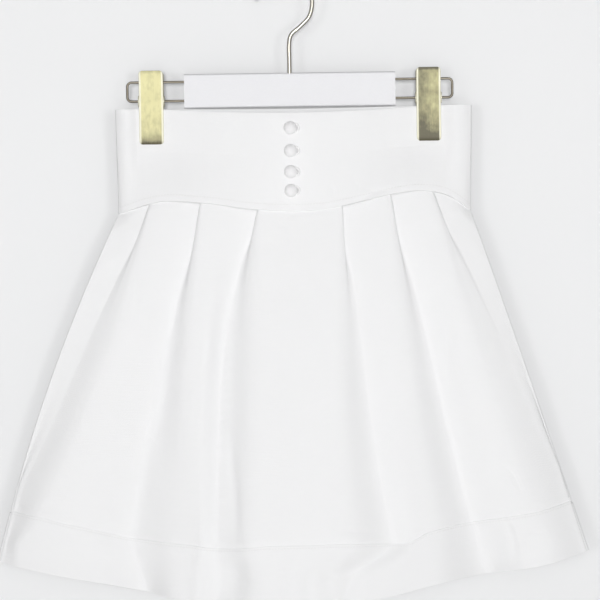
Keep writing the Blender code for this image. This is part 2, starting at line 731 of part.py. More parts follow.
def build():
    clear_scene()
    group = collection("flared skirt on a clip hanger")
    cutters = collection("cutters")
    materials = {name: finish_material(name) for name in FINISHES}
    build_skirt(group, materials["cloth"])
    build_band(group, materials["cloth"])
    build_buttons(group, materials["cloth"])
    build_hook(group, materials["wire"])
    build_frame(group, materials["brass"])
    build_sleeve(group, cutters, materials["card"])
    build_clips(group, materials["brass"])


build()
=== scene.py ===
# %% [markdown]
# # A flared skirt on its clip hanger
#
# The skirt is a white cotton one with a high fitted waistband, four covered buttons, deep pleats that
# open into a flare, and a doubled hem band. It hangs from two metal clips. The solid model gives the
# places and sizes, and this script gives the looks: every piece of cloth becomes a thin shell with its
# creases, and the metal, card and cord get their finish. All lengths in the tables are millimetres.

# %% Load the solid model
import math
from collections import namedtuple

import bmesh
import bpy
import numpy as np
from mathutils import Matrix, Vector


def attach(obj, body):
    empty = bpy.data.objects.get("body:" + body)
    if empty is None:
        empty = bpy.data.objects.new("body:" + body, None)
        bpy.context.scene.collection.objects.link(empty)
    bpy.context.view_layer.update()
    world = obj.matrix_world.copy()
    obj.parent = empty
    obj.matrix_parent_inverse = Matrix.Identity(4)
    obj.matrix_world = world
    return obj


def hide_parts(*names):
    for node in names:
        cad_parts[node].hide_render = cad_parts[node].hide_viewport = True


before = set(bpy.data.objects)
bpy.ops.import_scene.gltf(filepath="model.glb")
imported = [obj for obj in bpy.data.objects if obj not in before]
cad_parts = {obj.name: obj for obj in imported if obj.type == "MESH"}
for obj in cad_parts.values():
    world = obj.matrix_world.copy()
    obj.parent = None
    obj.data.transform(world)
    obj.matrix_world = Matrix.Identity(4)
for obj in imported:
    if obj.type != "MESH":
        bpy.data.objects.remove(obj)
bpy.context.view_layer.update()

MM = 0.001


def named_rows(kind, *rows):
    """A table: each row of numbers with its columns named."""
    return tuple(kind(*row) for row in rows)


# %% [markdown]
# ## Camera
#
# The photograph looks straight at the skirt from the front, from a little under two metres, and the
# hanger is turned by less than a degree in the picture. A long lens keeps the sides parallel. The
# camera could be aimed with a constraint, but a plain matrix says the same in one line: turned up to
# look along +Y, then rolled about its own axis.

# %% Place the camera
CAMERA_PLACE = Vector((11.25, -1800.0, -311.6)) * MM
CAMERA_LENS = 113.7
CAMERA_ROLL = math.radians(-0.8)

camera = bpy.data.objects.new("camera", bpy.data.cameras.new("camera"))
camera.data.sensor_width = 36.0
camera.data.lens = CAMERA_LENS
look_forward = Matrix.Rotation(math.radians(90), 4, "X")
rolled = look_forward @ Matrix.Rotation(CAMERA_ROLL, 4, "Z")
camera.matrix_world = Matrix.Translation(CAMERA_PLACE) @ rolled
bpy.context.scene.collection.objects.link(camera)
bpy.context.scene.camera = camera
print("camera at", tuple(camera.location), "lens", CAMERA_LENS)

# %% [markdown]
# ## The garment's sizes
#
# A pleated skirt is drawn as sections: at each height the cloth follows a line that runs along a
# panel, folds back round a pleat, and runs on. The sizes below are the solid model's own, so that the
# shells lie exactly on the solids. Each pleat is one row of its table: where its fold lies at the
# waist, midway, at the hem band's seam and at the hem, how wide its valley has opened, and how deep.

# %% Sizes of the waistband
HANGER_X = 4.3
GARMENT_X = 7.5
SEAM_GAP = 0.3
SEAM_LAP = 1.0

# Down to the bite's share of its height, the band keeps the depth of its top edge. There it is
# pinched flat on each side of a clip's middle, bows between the clips and loops out past them.
BAND_HALF_TOP = 168.0
BAND_HALF_FOOT = 166.0
BAND_WALL = 2.4
BAND_TOP_Z = -128.7
BAND_FRONT_SAG = 6.3
BAND_BACK_SAG = 0.6
BAND_PANEL_SEAM = 87.0
CLIP_SPAN = 131.5
CLIP_PINCH = 1.6
CLIP_BITE = 0.46
CLIP_HOLD = 15.0
FRONT_BOW = 12.5
BACK_BOW = 5.5
BOW_POWER = 1.3
SAG_POWER = 1.2
END_LOOP = 3.2
BAND_SIDE_ROUND = 1.6
print("waistband:", 2 * BAND_HALF_TOP, "mm wide at the top and", 2 * BAND_HALF_FOOT, "at the waist seam")

# %% Sizes of the skirt
# Places down the skirt are shares of the way from the waist seam, which is 0, to the hem, which is 1.
WAIST_DEPTH = 14.0
FRONT_HEM_DEPTH = 49.0
BACK_HEM_DEPTH = 42.0
SIDE_LEAST_ROUND = 3.0
SIDE_FIRST_SHARE = 0.6
CORNER_REACH = 2.5
CORNER_STEP = 0.4
CORNER_SHARE = 0.93
SIDE_TURN = 1.5
SIDE_ROOM = 2.0
LeastDepth = namedtuple("LeastDepth", "down depth")
LEAST_DEPTHS = named_rows(
    LeastDepth, (0.0, 2.2), (0.05, 5.5), (0.155, 8.2), (0.5, 11.0), (0.86, 10.0), (1.0, 9.0),
)
OVAL_SPREAD_HEM = 1.10
LAYER = 2.4
TUCK = 19.0
PANEL_CROWN = 2.5
PANEL_DIP = 1.4
MIDWAY = 0.5
HEM_SEAM = 0.862
HEM_SEAM_HALF_GAP = 0.0007
HEM_SEAM_LAP = 0.003
HEM_SHIFT = 0.09
OPENING_POWER = 0.55
PANEL_POINTS = 2
BOX_POINTS = 3

Oval = namedtuple("Oval", "flatness roundness")
WAIST_OVAL = Oval(flatness=3.0, roundness=2.0)
HEM_OVAL = Oval(flatness=2.2, roundness=1.6)

Side = namedtuple("Side", "waist mid hem")
LEFT_SIDE = Side(waist=166, mid=235, hem=284)
RIGHT_SIDE = Side(waist=166, mid=220, hem=272)
print("hem:", LEFT_SIDE.hem + RIGHT_SIDE.hem, "mm wide")

# %% The pleats
Pleat = namedtuple(
    "Pleat", "waist mid seam hem open_top open_mid open_seam open_hem deep_top deep_seam deep_hem back brim"
)
FRONT_PLEATS = named_rows(
    Pleat,
    (-137, -193, -249, -265, 30, 21, 25, 28, 4, 4, 2, 0, 0),
    (-89, -104, -113, -114, 32, 29, 46, 30, 10, 14, 14, 15, 0),
    (-35, -39, -41, -33, 56, 35, 37, 48, 17, 13, 17, 0, 3),
    (45, 39, 46, 16, 38, 28, 42, 24, 6, 14, 4, 0, 0),
    (91, 107, 127, 125, 34, 26, 36, 52, 7, 13, 18, 11, 0),
    (131, 183, 229, 240, 32, 22, 27, 30, 1, 2, 2, 0, 0),
)
BACK_PLEATS = named_rows(
    Pleat,
    (-132, -185, -229, -240, 34, 23, 27, 30, 3, 4, 4, 0, 0),
    (-90, -106, -119, -127, 32, 28, 38, 36, 8, 13, 14, 11, 0),
    (-41, -44, -43, -46, 46, 33, 32, 36, 11, 13, 15, 0, 2),
    (43, 45, 48, 46, 46, 33, 34, 32, 11, 13, 12, 0, 1),
    (92, 106, 119, 127, 32, 28, 38, 36, 8, 13, 14, 11, 0),
    (134, 186, 229, 240, 34, 23, 27, 29, 3, 4, 4, 0, 0),
)

# Round a pleat, from its outer panel to its inner one. Shut: mm across from the fold, and layers
# behind it. Open: shares of the valley's width and of its depth, and of how far its brim rises.
FoldPoint = namedtuple("FoldPoint", "shut_across shut_layer open_across open_depth brim")
FOLD_POINTS = named_rows(
    FoldPoint,
    (-TUCK + 5, 2, 1.12, 0.94, 1.0),
    (-TUCK, 2, 1.01, 0.99, 0.35),
    (-TUCK, 1, 0.93, 1.00, 0.0),
    (-TUCK + 5, 1, 0.72, 0.80, 0.0),
    (-4, 1, 0.45, 0.43, 0.0),
    (0, 1, 0.20, 0.13, 0.0),
    (0, 0, -0.05, 0.02, 0.0),
    (-5, 0, -0.30, 0.00, 0.0),
)

print("pleats:", len(FRONT_PLEATS), "in front and", len(BACK_PLEATS), "behind")

# %% Heights of the waist seam and the hem
HeightAt = namedtuple("HeightAt", "x z")
FRONT_WAIST = named_rows(
    HeightAt, (-168, -228), (-126, -217), (-86, -219), (-34, -226), (30, -226), (60, -220),
    (92, -213), (118, -210), (148, -216), (168, -230),
)
BACK_WAIST = named_rows(
    HeightAt, (-168, -228), (-128, -218), (-60, -225), (0, -227), (70, -224), (126, -217),
    (168, -230),
)
FRONT_HEM = named_rows(
    HeightAt, (-286, -553), (-235, -565), (-185, -575), (-130, -587), (-80, -593), (0, -589),
    (65, -591), (137, -577), (190, -570), (245, -559), (275, -550),
)
BACK_HEM = named_rows(
    HeightAt, (-286, -553), (-200, -571), (-120, -585), (-40, -588), (40, -590), (120, -583),
    (200, -567), (275, -550),
)

Face = namedtuple("Face", "towards pleats waist hem hem_depth bow sag")
FRONT = Face(-1, FRONT_PLEATS, FRONT_WAIST, FRONT_HEM, FRONT_HEM_DEPTH, FRONT_BOW, BAND_FRONT_SAG)
BACK = Face(1, BACK_PLEATS, BACK_WAIST, BACK_HEM, BACK_HEM_DEPTH, BACK_BOW, BAND_BACK_SAG)
print("front hem: from", max(row.z for row in FRONT_HEM), "down to", min(row.z for row in FRONT_HEM), "mm")

# %% [markdown]
# ## Curves that several pieces share
#
# Seams and hems are not straight lines, so their heights come from a smooth curve through a few
# measured places. Bezier handles would do it too, but a formula can be asked for the height under any
# point of the cloth, all points at once.

# %% Heights, outlines and easing as formulas
def smooth_step(share):
    """0 below 0, 1 above 1, and between them 3 s^2 - 2 s^3."""
    share = np.clip(share, 0.0, 1.0)
    return share * share * (3.0 - 2.0 * share)


def between(start, end, share):
    """start at share 0, end at share 1, and straight between them."""
    return start + (end - start) * share


def height_at(x, rows):
    """Height at x on a smooth curve through the rows: cubic Hermite spans with central slopes."""
    xs = np.array([row.x for row in rows], float)
    zs = np.array([row.z for row in rows], float)
    slopes = np.gradient(zs, xs)
    x = np.clip(x, xs[0], xs[-1])
    span = np.clip(np.searchsorted(xs, x) - 1, 0, len(xs) - 2)
    width = xs[span + 1] - xs[span]
    t = (x - xs[span]) / width
    start = zs[span] * (2 * t**3 - 3 * t**2 + 1) + slopes[span] * width * (t**3 - 2 * t**2 + t)
    end = zs[span + 1] * (3 * t**2 - 2 * t**3) + slopes[span + 1] * width * (t**3 - t**2)
    return start + end


def side_reach(side, down):
    """Half width at a height: the parabola through the side's waist, midway and hem widths."""
    bend = 2 * (side.waist - 2 * side.mid + side.hem)
    return side.waist + (side.hem - side.waist - bend) * down + bend * down * down


def oval_depth(x, reach, depth, flatness, roundness):
    """Depth of a flattened oval at x: depth * (1 - |x / reach| ** flatness) ** (1 / roundness)."""
    share = np.clip(np.abs(x) / reach, 0.0, 1.0)
    return depth * (1.0 - share**flatness) ** (1.0 / roundness)


print("waist seam at the middle:", height_at(np.array([0.0]), FRONT_WAIST)[0], "mm")

# %% [markdown]
# ## The pleated section
#
# A pleat could be modelled by hand, or simulated from a flat cut, but both lose the exact places of
# the folds. Here each section is a B-spline drawn by a short row of control points. At the waist the
# points lie shut, one layer on the next. Further down they glide apart into an open valley.

# %% Control points round a pleat, for all heights at once
def fold_place(pleat, down):
    """Where the fold lies: a parabola down to the hem band's seam, then a short ease to its hem place."""
    first = (pleat.mid - pleat.waist) / MIDWAY
    second = (pleat.seam - pleat.mid) / (HEM_SEAM - MIDWAY)
    bend = (second - first) / HEM_SEAM
    curved = pleat.waist + first * down + bend * down * (down - MIDWAY)
    moved = between(pleat.seam, pleat.hem, smooth_step((down - HEM_SEAM) / HEM_SHIFT))
    return np.where(down > HEM_SEAM, moved, curved)


def opened(down):
    """How far the pleats have opened: (down / midway) ** power, up to 1."""
    return np.minimum(1.0, down / MIDWAY) ** OPENING_POWER


def pleat_points(pleat, down):
    """Points round one pleat at each height, mixed from its shut and its open form: x and depth."""
    outward = math.copysign(1.0, pleat.waist)
    shut_across, shut_layer, open_across, open_depth, rise = np.array(FOLD_POINTS).T
    widths = (pleat.open_top, pleat.open_mid, pleat.open_seam, pleat.open_hem)
    width = np.interp(down, (0.0, MIDWAY, HEM_SEAM, 1.0), widths)
    reach = side_reach(LEFT_SIDE if outward < 0 else RIGHT_SIDE, down)
    room = reach - SIDE_TURN * down - SIDE_ROOM - np.abs(fold_place(pleat, down))
    width = np.minimum(width, room / open_across[0])
    depth = np.interp(down, (0.0, HEM_SEAM, 1.0), (pleat.deep_top, pleat.deep_seam, pleat.deep_hem))
    share = opened(down)[:, None]
    across = between(shut_across, open_across * width[:, None], share)
    brim = rise * pleat.brim * (1 - down)[:, None]
    spread = open_depth * depth[:, None] - brim + (pleat.back * down)[:, None]
    behind = between(shut_layer * LAYER, spread, share)
    return np.stack([fold_place(pleat, down)[:, None] + outward * across, behind], axis=-1)


print("first pleat at the hem:", pleat_points(FRONT_PLEATS[0], np.array([1.0])).round(1).tolist())


# %% Control points of a whole face
def panel_points(start, end, layers, share, crown, count):
    """Points across a panel at each height: straight in x, t ** dip in depth, with a low sine crown."""
    t = np.arange(1, count + 1) / (count + 1)
    x = between(start[:, :1], end[:, :1], t)
    sloped = between(start[:, 1:], end[:, 1:], t**PANEL_DIP)
    share = share[:, None]
    lifted = np.asarray(crown).reshape(-1, 1) * share * np.sin(math.pi * t)
    behind = between(layers * LAYER * t, sloped, share) - lifted
    return np.stack([x, behind], axis=-1)


def face_points(face, down):
    """Control points of one face at each height, from the left side seam to the right: x and y."""
    share = opened(down)
    left = side_reach(LEFT_SIDE, down)
    right = side_reach(RIGHT_SIDE, down)
    crown = PANEL_CROWN * down
    runs = [pleat_points(pleat, down) for pleat in face.pleats]
    half = len(runs) // 2
    runs[half:] = [run[:, ::-1] for run in runs[half:]]
    left_seam = np.stack([-left, runs[0][:, 0, 1]], 1)
    right_seam = np.stack([right, runs[-1][:, -1, 1]], 1)
    parts = [panel_points(left_seam, runs[0][:, 0], 1, share, 0.0, 1)]
    for index, run in enumerate(runs[:-1]):
        last, first = run[:, -1], runs[index + 1][:, 0]
        parts.append(run)
        if index == half - 1:
            parts.append(panel_points(last, first, 0, share, crown, BOX_POINTS))
        elif index < half:
            parts.append(panel_points(last, first, 2, share, crown, PANEL_POINTS))
        else:
            parts.append(panel_points(first, last, 2, share, crown, PANEL_POINTS)[:, ::-1])
    parts.append(runs[-1])
    parts.append(panel_points(right_seam, runs[-1][:, -1], 1, share, 0.0, 1))
    points = np.concatenate(parts, axis=1)
    column = down[:, None]
    x, behind = points[..., 0], points[..., 1]
    oval = (between(WAIST_DEPTH, face.hem_depth, column),
            between(WAIST_OVAL.flatness, HEM_OVAL.flatness, column),
            between(WAIST_OVAL.roundness, HEM_OVAL.roundness, column))
    spread = between(1.0, OVAL_SPREAD_HEM, column)
    depth = oval_depth(x, np.where(x < 0, left[:, None], right[:, None]) * spread, *oval)
    least = np.interp(column, *zip(*LEAST_DEPTHS))
    y = np.maximum(depth - behind, least)
    turn = SIDE_TURN * down
    xs, ys = [x], [y]
    for sign, reach, seam in ((-1, left, left_seam), (1, right, right_seam)):
        end = oval_depth(reach[:, None], reach[:, None] * spread, *oval)
        end = np.maximum(end - (seam[:, 1] * share)[:, None], np.maximum(least, SIDE_LEAST_ROUND))
        inward = np.stack([turn, turn / 2, turn * 0, turn * 0 + CORNER_STEP, turn * 0 + CORNER_REACH], 1)
        seam_x = (reach[:, None] - inward) * sign
        seam_y = np.maximum(end * np.array([0.0, SIDE_FIRST_SHARE, CORNER_SHARE, 1.0, 1.0]), SEAM_GAP / 2)
        xs = [seam_x] + xs if sign < 0 else xs + [seam_x[:, ::-1]]
        ys = [seam_y] + ys if sign < 0 else ys + [seam_y[:, ::-1]]
    x, y = np.concatenate(xs, axis=1), np.concatenate(ys, axis=1)
    return np.stack([x, face.towards * y], axis=-1)


print("control points of the front:", face_points(FRONT, np.array([1.0])).shape[1])


# %% A smooth section through its control points
def spline(points, places):
    """Uniform cubic B-spline of each height's control points, which starts and ends on its end points."""
    before = 2 * points[:, :1] - points[:, 1:2]
    after = 2 * points[:, -1:] - points[:, -2:-1]
    padded = np.concatenate([before, points, after], axis=1)
    knot = np.minimum(places.astype(int), points.shape[1] - 2)
    f = places - knot
    blend = ((1 - f) ** 3 / 6, (3 * f**3 - 6 * f**2 + 4) / 6,
             (-3 * f**3 + 3 * f**2 + 3 * f + 1) / 6, f**3 / 6)
    return sum(weight[None, :, None] * padded[:, knot + step] for step, weight in enumerate(blend))


corner = spline(face_points(FRONT, np.array([1.0])), np.array([0.0]))
print("left end of the hem's section:", corner.round(2).tolist())

# %% Samples across and down
END_SPANS = 6
PLEAT_SPANS = len(FOLD_POINTS) - 1
END_SAMPLES = 4
PLEAT_SAMPLES = 5
PANEL_SAMPLES = 9
SKIRT_ROWS = 116
HEM_BAND_ROWS = 26


def sample_plan(face):
    """Places along the control points, closer round a pleat, and how far each lies inside one."""
    half = len(face.pleats) // 2
    plan = [(END_SAMPLES, 0.0)] * END_SPANS
    for index in range(len(face.pleats)):
        plan += [(PLEAT_SAMPLES, 1.0)] * PLEAT_SPANS
        if index < len(face.pleats) - 1:
            plan += [(PANEL_SAMPLES, 0.0)] * (BOX_POINTS + 1 if index == half - 1 else PANEL_POINTS + 1)
    plan += [(END_SAMPLES, 0.0)] * END_SPANS
    places, inside = [], []
    for span, (samples, pleated) in enumerate(plan):
        places += [span + step / samples for step in range(samples)]
        inside += [pleated] * samples
    return np.array(places + [float(len(plan))]), np.array(inside + [0.0])


def face_grid(face, down):
    """The face's middle surface: rows down the skirt by samples across it, as x, y and z."""
    places, _ = sample_plan(face)
    ends = spline(face_points(face, np.array([0.0, 1.0])), places)
    top = height_at(ends[0, :, 0], face.waist) + SEAM_LAP
    foot = height_at(ends[1, :, 0], face.hem)
    section = spline(face_points(face, down), places)
    z = between(top[None, :], foot[None, :], down[:, None])
    section[..., 0] += GARMENT_X
    return np.concatenate([section, z[..., None]], axis=-1)


skirt_down = np.linspace(0.0, HEM_SEAM + HEM_SEAM_LAP, SKIRT_ROWS)
hem_down = np.linspace(HEM_SEAM + HEM_SEAM_HALF_GAP, 1.0, HEM_BAND_ROWS)
front_grid = face_grid(FRONT, skirt_down)
print("skirt front grid:", front_grid.shape, "from", front_grid.min((0, 1)), "to", front_grid.max((0, 1)))

# %% [markdown]
# ## Creases, one by one
#
# Cloth that hangs is never smooth. Its creases could come from a simulation or a noise, but the ones
# in the picture lie in known places, so each is a row in a table: a line across the cloth, bent a
# little, with a width and a depth. A trough is pushed in along the surface's own normal, and a ridge,
# whose depth is negative, is pushed out.

# %% Tables of creases
Crease = namedtuple("Crease", "x1 z1 x2 z2 bend width depth")
FRONT_CREASES = named_rows(
    Crease,
    (-55, -440, -51, -540, 1, 4.5, 1.6),
    (-88, -380, -90, -560, 2, 14.0, -2.0),
    (-54, -320, -64.6, -545, -2.3, 6.0, -1.8),
    (104, -420, 96, -530, 2, 16.0, -1.2),
    (153, -337, 153, -402, -3, 4.0, 0.8),
    (-144, -275, -146, -328, 3, 4.0, 0.8),
    (-23, -232, 9, -231, -1, 2.2, 0.8),
    (-16, -238, 5, -244, 2, 2.4, 0.6),
    (-27, -259, -11, -259, 1, 2.6, 0.6),
    (-41, -297, -12, -302, -2, 3.0, 0.7),
    (202, -471, 215, -494, 2, 2.2, 1.0),
    (200, -519, 210, -558, 3, 3.0, 1.5),
    (34, -556, 28, -590, 2, 7.0, 1.3),
    (70, -552, 66, -586, 1, 9.0, -1.2),
    (-128, -440, -131, -514, 3, 9.0, -1.0),
    (-53, -548, -52, -590, 1, 10.0, 2.5),
    (166, -517, 185, -517, 1, 1.8, 0.7),
    (193, -516, 206, -515, 1, 1.8, 0.8),
    (221, -533, 238, -532, 1, 2.0, 0.8),
    (221, -510, 240, -509, 1, 1.8, 0.6),
    (-259, -504, -251, -505, 1, 1.8, 0.7),
    (-215, -515, -197, -517, 1, 1.8, 0.7),
    (-174, -523, -149, -526, 1, 2.0, 0.8),
    (41, -527, 80, -530, 1, 2.2, 0.8),
)
BACK_CREASES = named_rows(
    Crease,
    (60, -430, 52, -530, -2, 2.6, 1.5),
    (-150, -335, -148, -400, 3, 4.0, 0.8),
    (141, -280, 144, -330, -3, 4.0, 0.8),
    (20, -236, -12, -234, 1, 2.2, 0.8),
    (38, -300, 12, -296, 2, 3.0, 0.7),
    (-205, -470, -215, -492, -2, 2.2, 1.0),
    (-30, -546, -26, -582, -2, 6.0, 1.6),
    (128, -445, 131, -512, -3, 4.0, -1.2),
    (-178, -518, -158, -522, 1, 1.8, 0.7),
    (196, -514, 214, -511, 1, 1.8, 0.7),
)
BAND_CREASES = named_rows(
    Crease,
    (65, -220, 99, -209, 2, 2.0, 0.8),
    (75, -209, 99, -208, -1, 1.8, 0.5),
    (42, -204, 43, -215, 1, 1.8, 0.5),
    (66, -202, 68, -209, 1, 1.8, 0.4),
    (156, -213, 165, -231, -1, 2.2, 0.8),
    (-79.5, -131, -79.5, -219, 0.2, 1.1, 0.32),
    (94.5, -131, 94.5, -214, 0.2, 1.1, 0.18),
)
for side, creases in (("front", FRONT_CREASES), ("back", BACK_CREASES), ("band", BAND_CREASES)):
    print(side, "has", len(creases), "creases")

# %% Press the creases into a grid
CREASE_STEPS = 24
CREASE_ENDS = (0.08, 0.92)
SIDE_CALM = 6.0
SIDE_CLEAR = 4.0
SHUT_CALM = 0.3
SEAM_PRESS = 0.8
SEAM_REACH = 3.0


def crease_push(grid, creases):
    """Push of all creases at each point: depth * exp(-(distance / width)^2) * sine along the line."""
    place = grid[..., [0, 2]]
    t = np.linspace(0.0, 1.0, CREASE_STEPS)
    push = np.zeros(grid.shape[:2])
    for crease in creases:
        start, end = np.array([crease.x1, crease.z1]), np.array([crease.x2, crease.z2])
        side = np.array([-(end - start)[1], (end - start)[0]]) / np.linalg.norm(end - start)
        line = between(start, end, t[:, None]) + side * (crease.bend * np.sin(math.pi * t))[:, None]
        distance = np.linalg.norm(place[..., None, :] - line, axis=-1)
        nearest = distance.argmin(axis=-1)
        fade = np.sin(math.pi * between(*CREASE_ENDS, t[nearest]))
        push += crease.depth * fade * np.exp(-((distance.min(axis=-1) / crease.width) ** 2))
    return push


def grid_normals(grid):
    """Unit normals of a grid: the cross product of its slopes across and down."""
    down, across = np.gradient(grid, axis=0), np.gradient(grid, axis=1)
    normals = np.cross(across, down)
    return normals / np.linalg.norm(normals, axis=-1, keepdims=True)


def seam_press(grid):
    """Push towards a seam at the grid's top or foot: depth * exp(-(length from the edge / reach)^2)."""
    step = np.linalg.norm(np.diff(grid, axis=0), axis=-1).cumsum(axis=0)
    length = np.concatenate([np.zeros((1, grid.shape[1])), step], axis=0)
    gaps = np.stack([length, length[-1] - length]) - SEAM_LAP
    return (SEAM_PRESS * np.exp(-((gaps / SEAM_REACH) ** 2))).sum(axis=0)


def creased(grid, face, creases, down):
    """The grid with its creases, calm at the side seams and where the pleats lie shut."""
    outward = grid_normals(grid) * face.towards
    facing = np.clip(outward[..., 1] * face.towards, 0.0, 1.0)
    calm = smooth_step((np.abs(grid[..., 1]) - SIDE_CLEAR) / SIDE_CALM)
    _, inside = sample_plan(face)
    shut = inside[None, :] * (1 - smooth_step(down[:, None] / SHUT_CALM))
    push = crease_push(grid, creases) * facing * calm * (1 - shut)
    if down[0] < HEM_SEAM:
        push = push + seam_press(grid)
    return grid - outward * push[..., None]


deepest = crease_push(front_grid, FRONT_CREASES).max()
print("deepest trough in the front:", round(float(deepest), 2), "mm")

# %% [markdown]
# ## From a grid to a cloth shell
#
# A sheet without thickness has no edge to catch the light, so every piece of cloth is a closed shell.
# Solidify would do, but its rim is square. Here both faces are the grid moved out and in along its
# normals, and the rim between them is a half round that is carried along all four edges.

# %% Make a mesh from points
SHARP_ANGLE = math.radians(62)


def cut_lengths(grid):
    """Place on the flat cut, in metres: length across from the middle column, and length down."""
    across = np.linalg.norm(np.diff(grid, axis=1), axis=-1).cumsum(axis=1)
    across = np.concatenate([np.zeros((len(grid), 1)), across], axis=1)
    across -= across[:, grid.shape[1] // 2, None]
    down = np.linalg.norm(np.diff(grid, axis=0), axis=-1).cumsum(axis=0)
    down = np.concatenate([np.zeros((1, grid.shape[1])), down], axis=0)
    return np.stack([across, down], axis=-1) * MM


def grid_corners(rows, columns):
    """Corner numbers of a grid's quads."""
    first = np.arange(rows - 1)[:, None] * columns + np.arange(columns - 1)[None, :]
    return np.stack([first, first + 1, first + columns + 1, first + columns], axis=-1).reshape(-1, 4)


def make_piece(name, points, corners, material, cut=None):
    """A new object from points in millimetres and quads, at the origin, riding on the root body."""
    mesh = bpy.data.meshes.new(name)
    mesh.from_pydata((points * MM).tolist(), [], corners.tolist())
    mesh.shade_smooth()
    mesh.set_sharp_from_angle(angle=SHARP_ANGLE)
    if cut is not None:
        order = np.zeros(len(mesh.loops), np.int32)
        mesh.loops.foreach_get("vertex_index", order)
        for layer, columns in (("cut", (0, 1)), ("foot", (0, -1))):
            flat = cut[order][:, columns].astype(np.float32).ravel()
            mesh.uv_layers.new(name=layer).uv.foreach_set("vector", flat)
    mesh.materials.append(material)
    made = bpy.data.objects.new(name, mesh)
    bpy.context.scene.collection.objects.link(made)
    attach(made, "root")
    return made


flat = cut_lengths(front_grid)
print("skirt front, along the cloth:", flat.min((0, 1)).round(3), "to", flat.max((0, 1)).round(3), "m")

# %% Build a closed shell
RIM_TURNS = np.radians((45.0, 90.0, 135.0))
CLOTH_ROLL = 0.12


def cloth_shell(name, grid, wall, material, roll=CLOTH_ROLL):
    """A closed wall round a grid: grid +- normal * wall / 2, with a half round rim."""
    rows, columns, _ = grid.shape
    normals = grid_normals(grid)
    number = np.arange(rows * columns).reshape(rows, columns)
    edge = np.concatenate([number[0, :-1], number[:-1, -1], number[-1, :0:-1], number[:0:-1, 0]])
    flat, flat_normals = grid.reshape(-1, 3), normals.reshape(-1, 3)
    along = np.roll(flat[edge], -1, axis=0) - np.roll(flat[edge], 1, axis=0)
    outward = np.cross(along, flat_normals[edge])
    outward /= np.linalg.norm(outward, axis=1, keepdims=True)
    rims = [flat[edge] + flat_normals[edge] * wall / 2 * math.cos(turn) + outward * roll * math.sin(turn)
            for turn in RIM_TURNS]
    points = np.concatenate([flat + flat_normals * wall / 2, flat - flat_normals * wall / 2] + rims)
    quads = grid_corners(rows, columns)
    corners = [quads, quads[:, ::-1] + rows * columns]
    loops = [edge] + [2 * rows * columns + len(edge) * step + np.arange(len(edge))
                      for step in range(len(rims))] + [edge + rows * columns]
    for near, far in zip(loops, loops[1:]):
        corners.append(np.stack([np.roll(near, -1), near, far, np.roll(far, -1)], axis=1))
    lengths = cut_lengths(grid)
    lengths = np.concatenate([lengths, lengths[-1:, :, 1:] - lengths[..., 1:]], axis=-1).reshape(-1, 3)
    cut = np.concatenate([lengths, lengths] + [lengths[edge]] * len(rims))
    return make_piece(name, points, np.concatenate(corners), material, cut)


def report(piece):
    """Print a piece's name and how many triangles it has."""
    triangles = sum(len(face.vertices) - 2 for face in piece.data.polygons)
    print(f"{piece.name}: {triangles} triangles")


# %% [markdown]
# ## Materials as sums
#
# A material's nodes are easier to read as arithmetic. The class below wraps one output socket: adding
# or multiplying two of them adds the Math node that does it, so a pattern can be written as one line.

# %% A value that can be calculated with
class Value:
    """A value that varies over a surface. Python's operators on it add Math nodes."""

    def __init__(self, recipe, socket):
        self.recipe = recipe
        self.socket = socket

    def math(self, operation, first, second=0.0):
        """One Math node on two values."""
        return self.recipe.node("ShaderNodeMath", {"operation": operation}, {0: first, 1: second})

    def __add__(self, other):
        return self.math("ADD", self, other)

    def __sub__(self, other):
        return self.math("SUBTRACT", self, other)

    def __rsub__(self, other):
        return self.math("SUBTRACT", other, self)

    def __mul__(self, other):
        return self.math("MULTIPLY", self, other)

    def __pow__(self, other):
        return self.math("POWER", self, other)

    def sine(self):
        """Sine of the value, in radians."""
        return self.math("SINE", self)

    def size(self):
        """The value without its sign."""
        return self.math("ABSOLUTE", self)

    def share(self):
        """The value, held between 0 and 1."""
        return self.math("MINIMUM", self.math("MAXIMUM", self, 0.0), 1.0)

    def rise(self, start, length):
        """0 up to start, 1 from start + length on, and straight between."""
        return ((self - start) * (1 / length)).share()

    __radd__ = __add__
    __rmul__ = __mul__


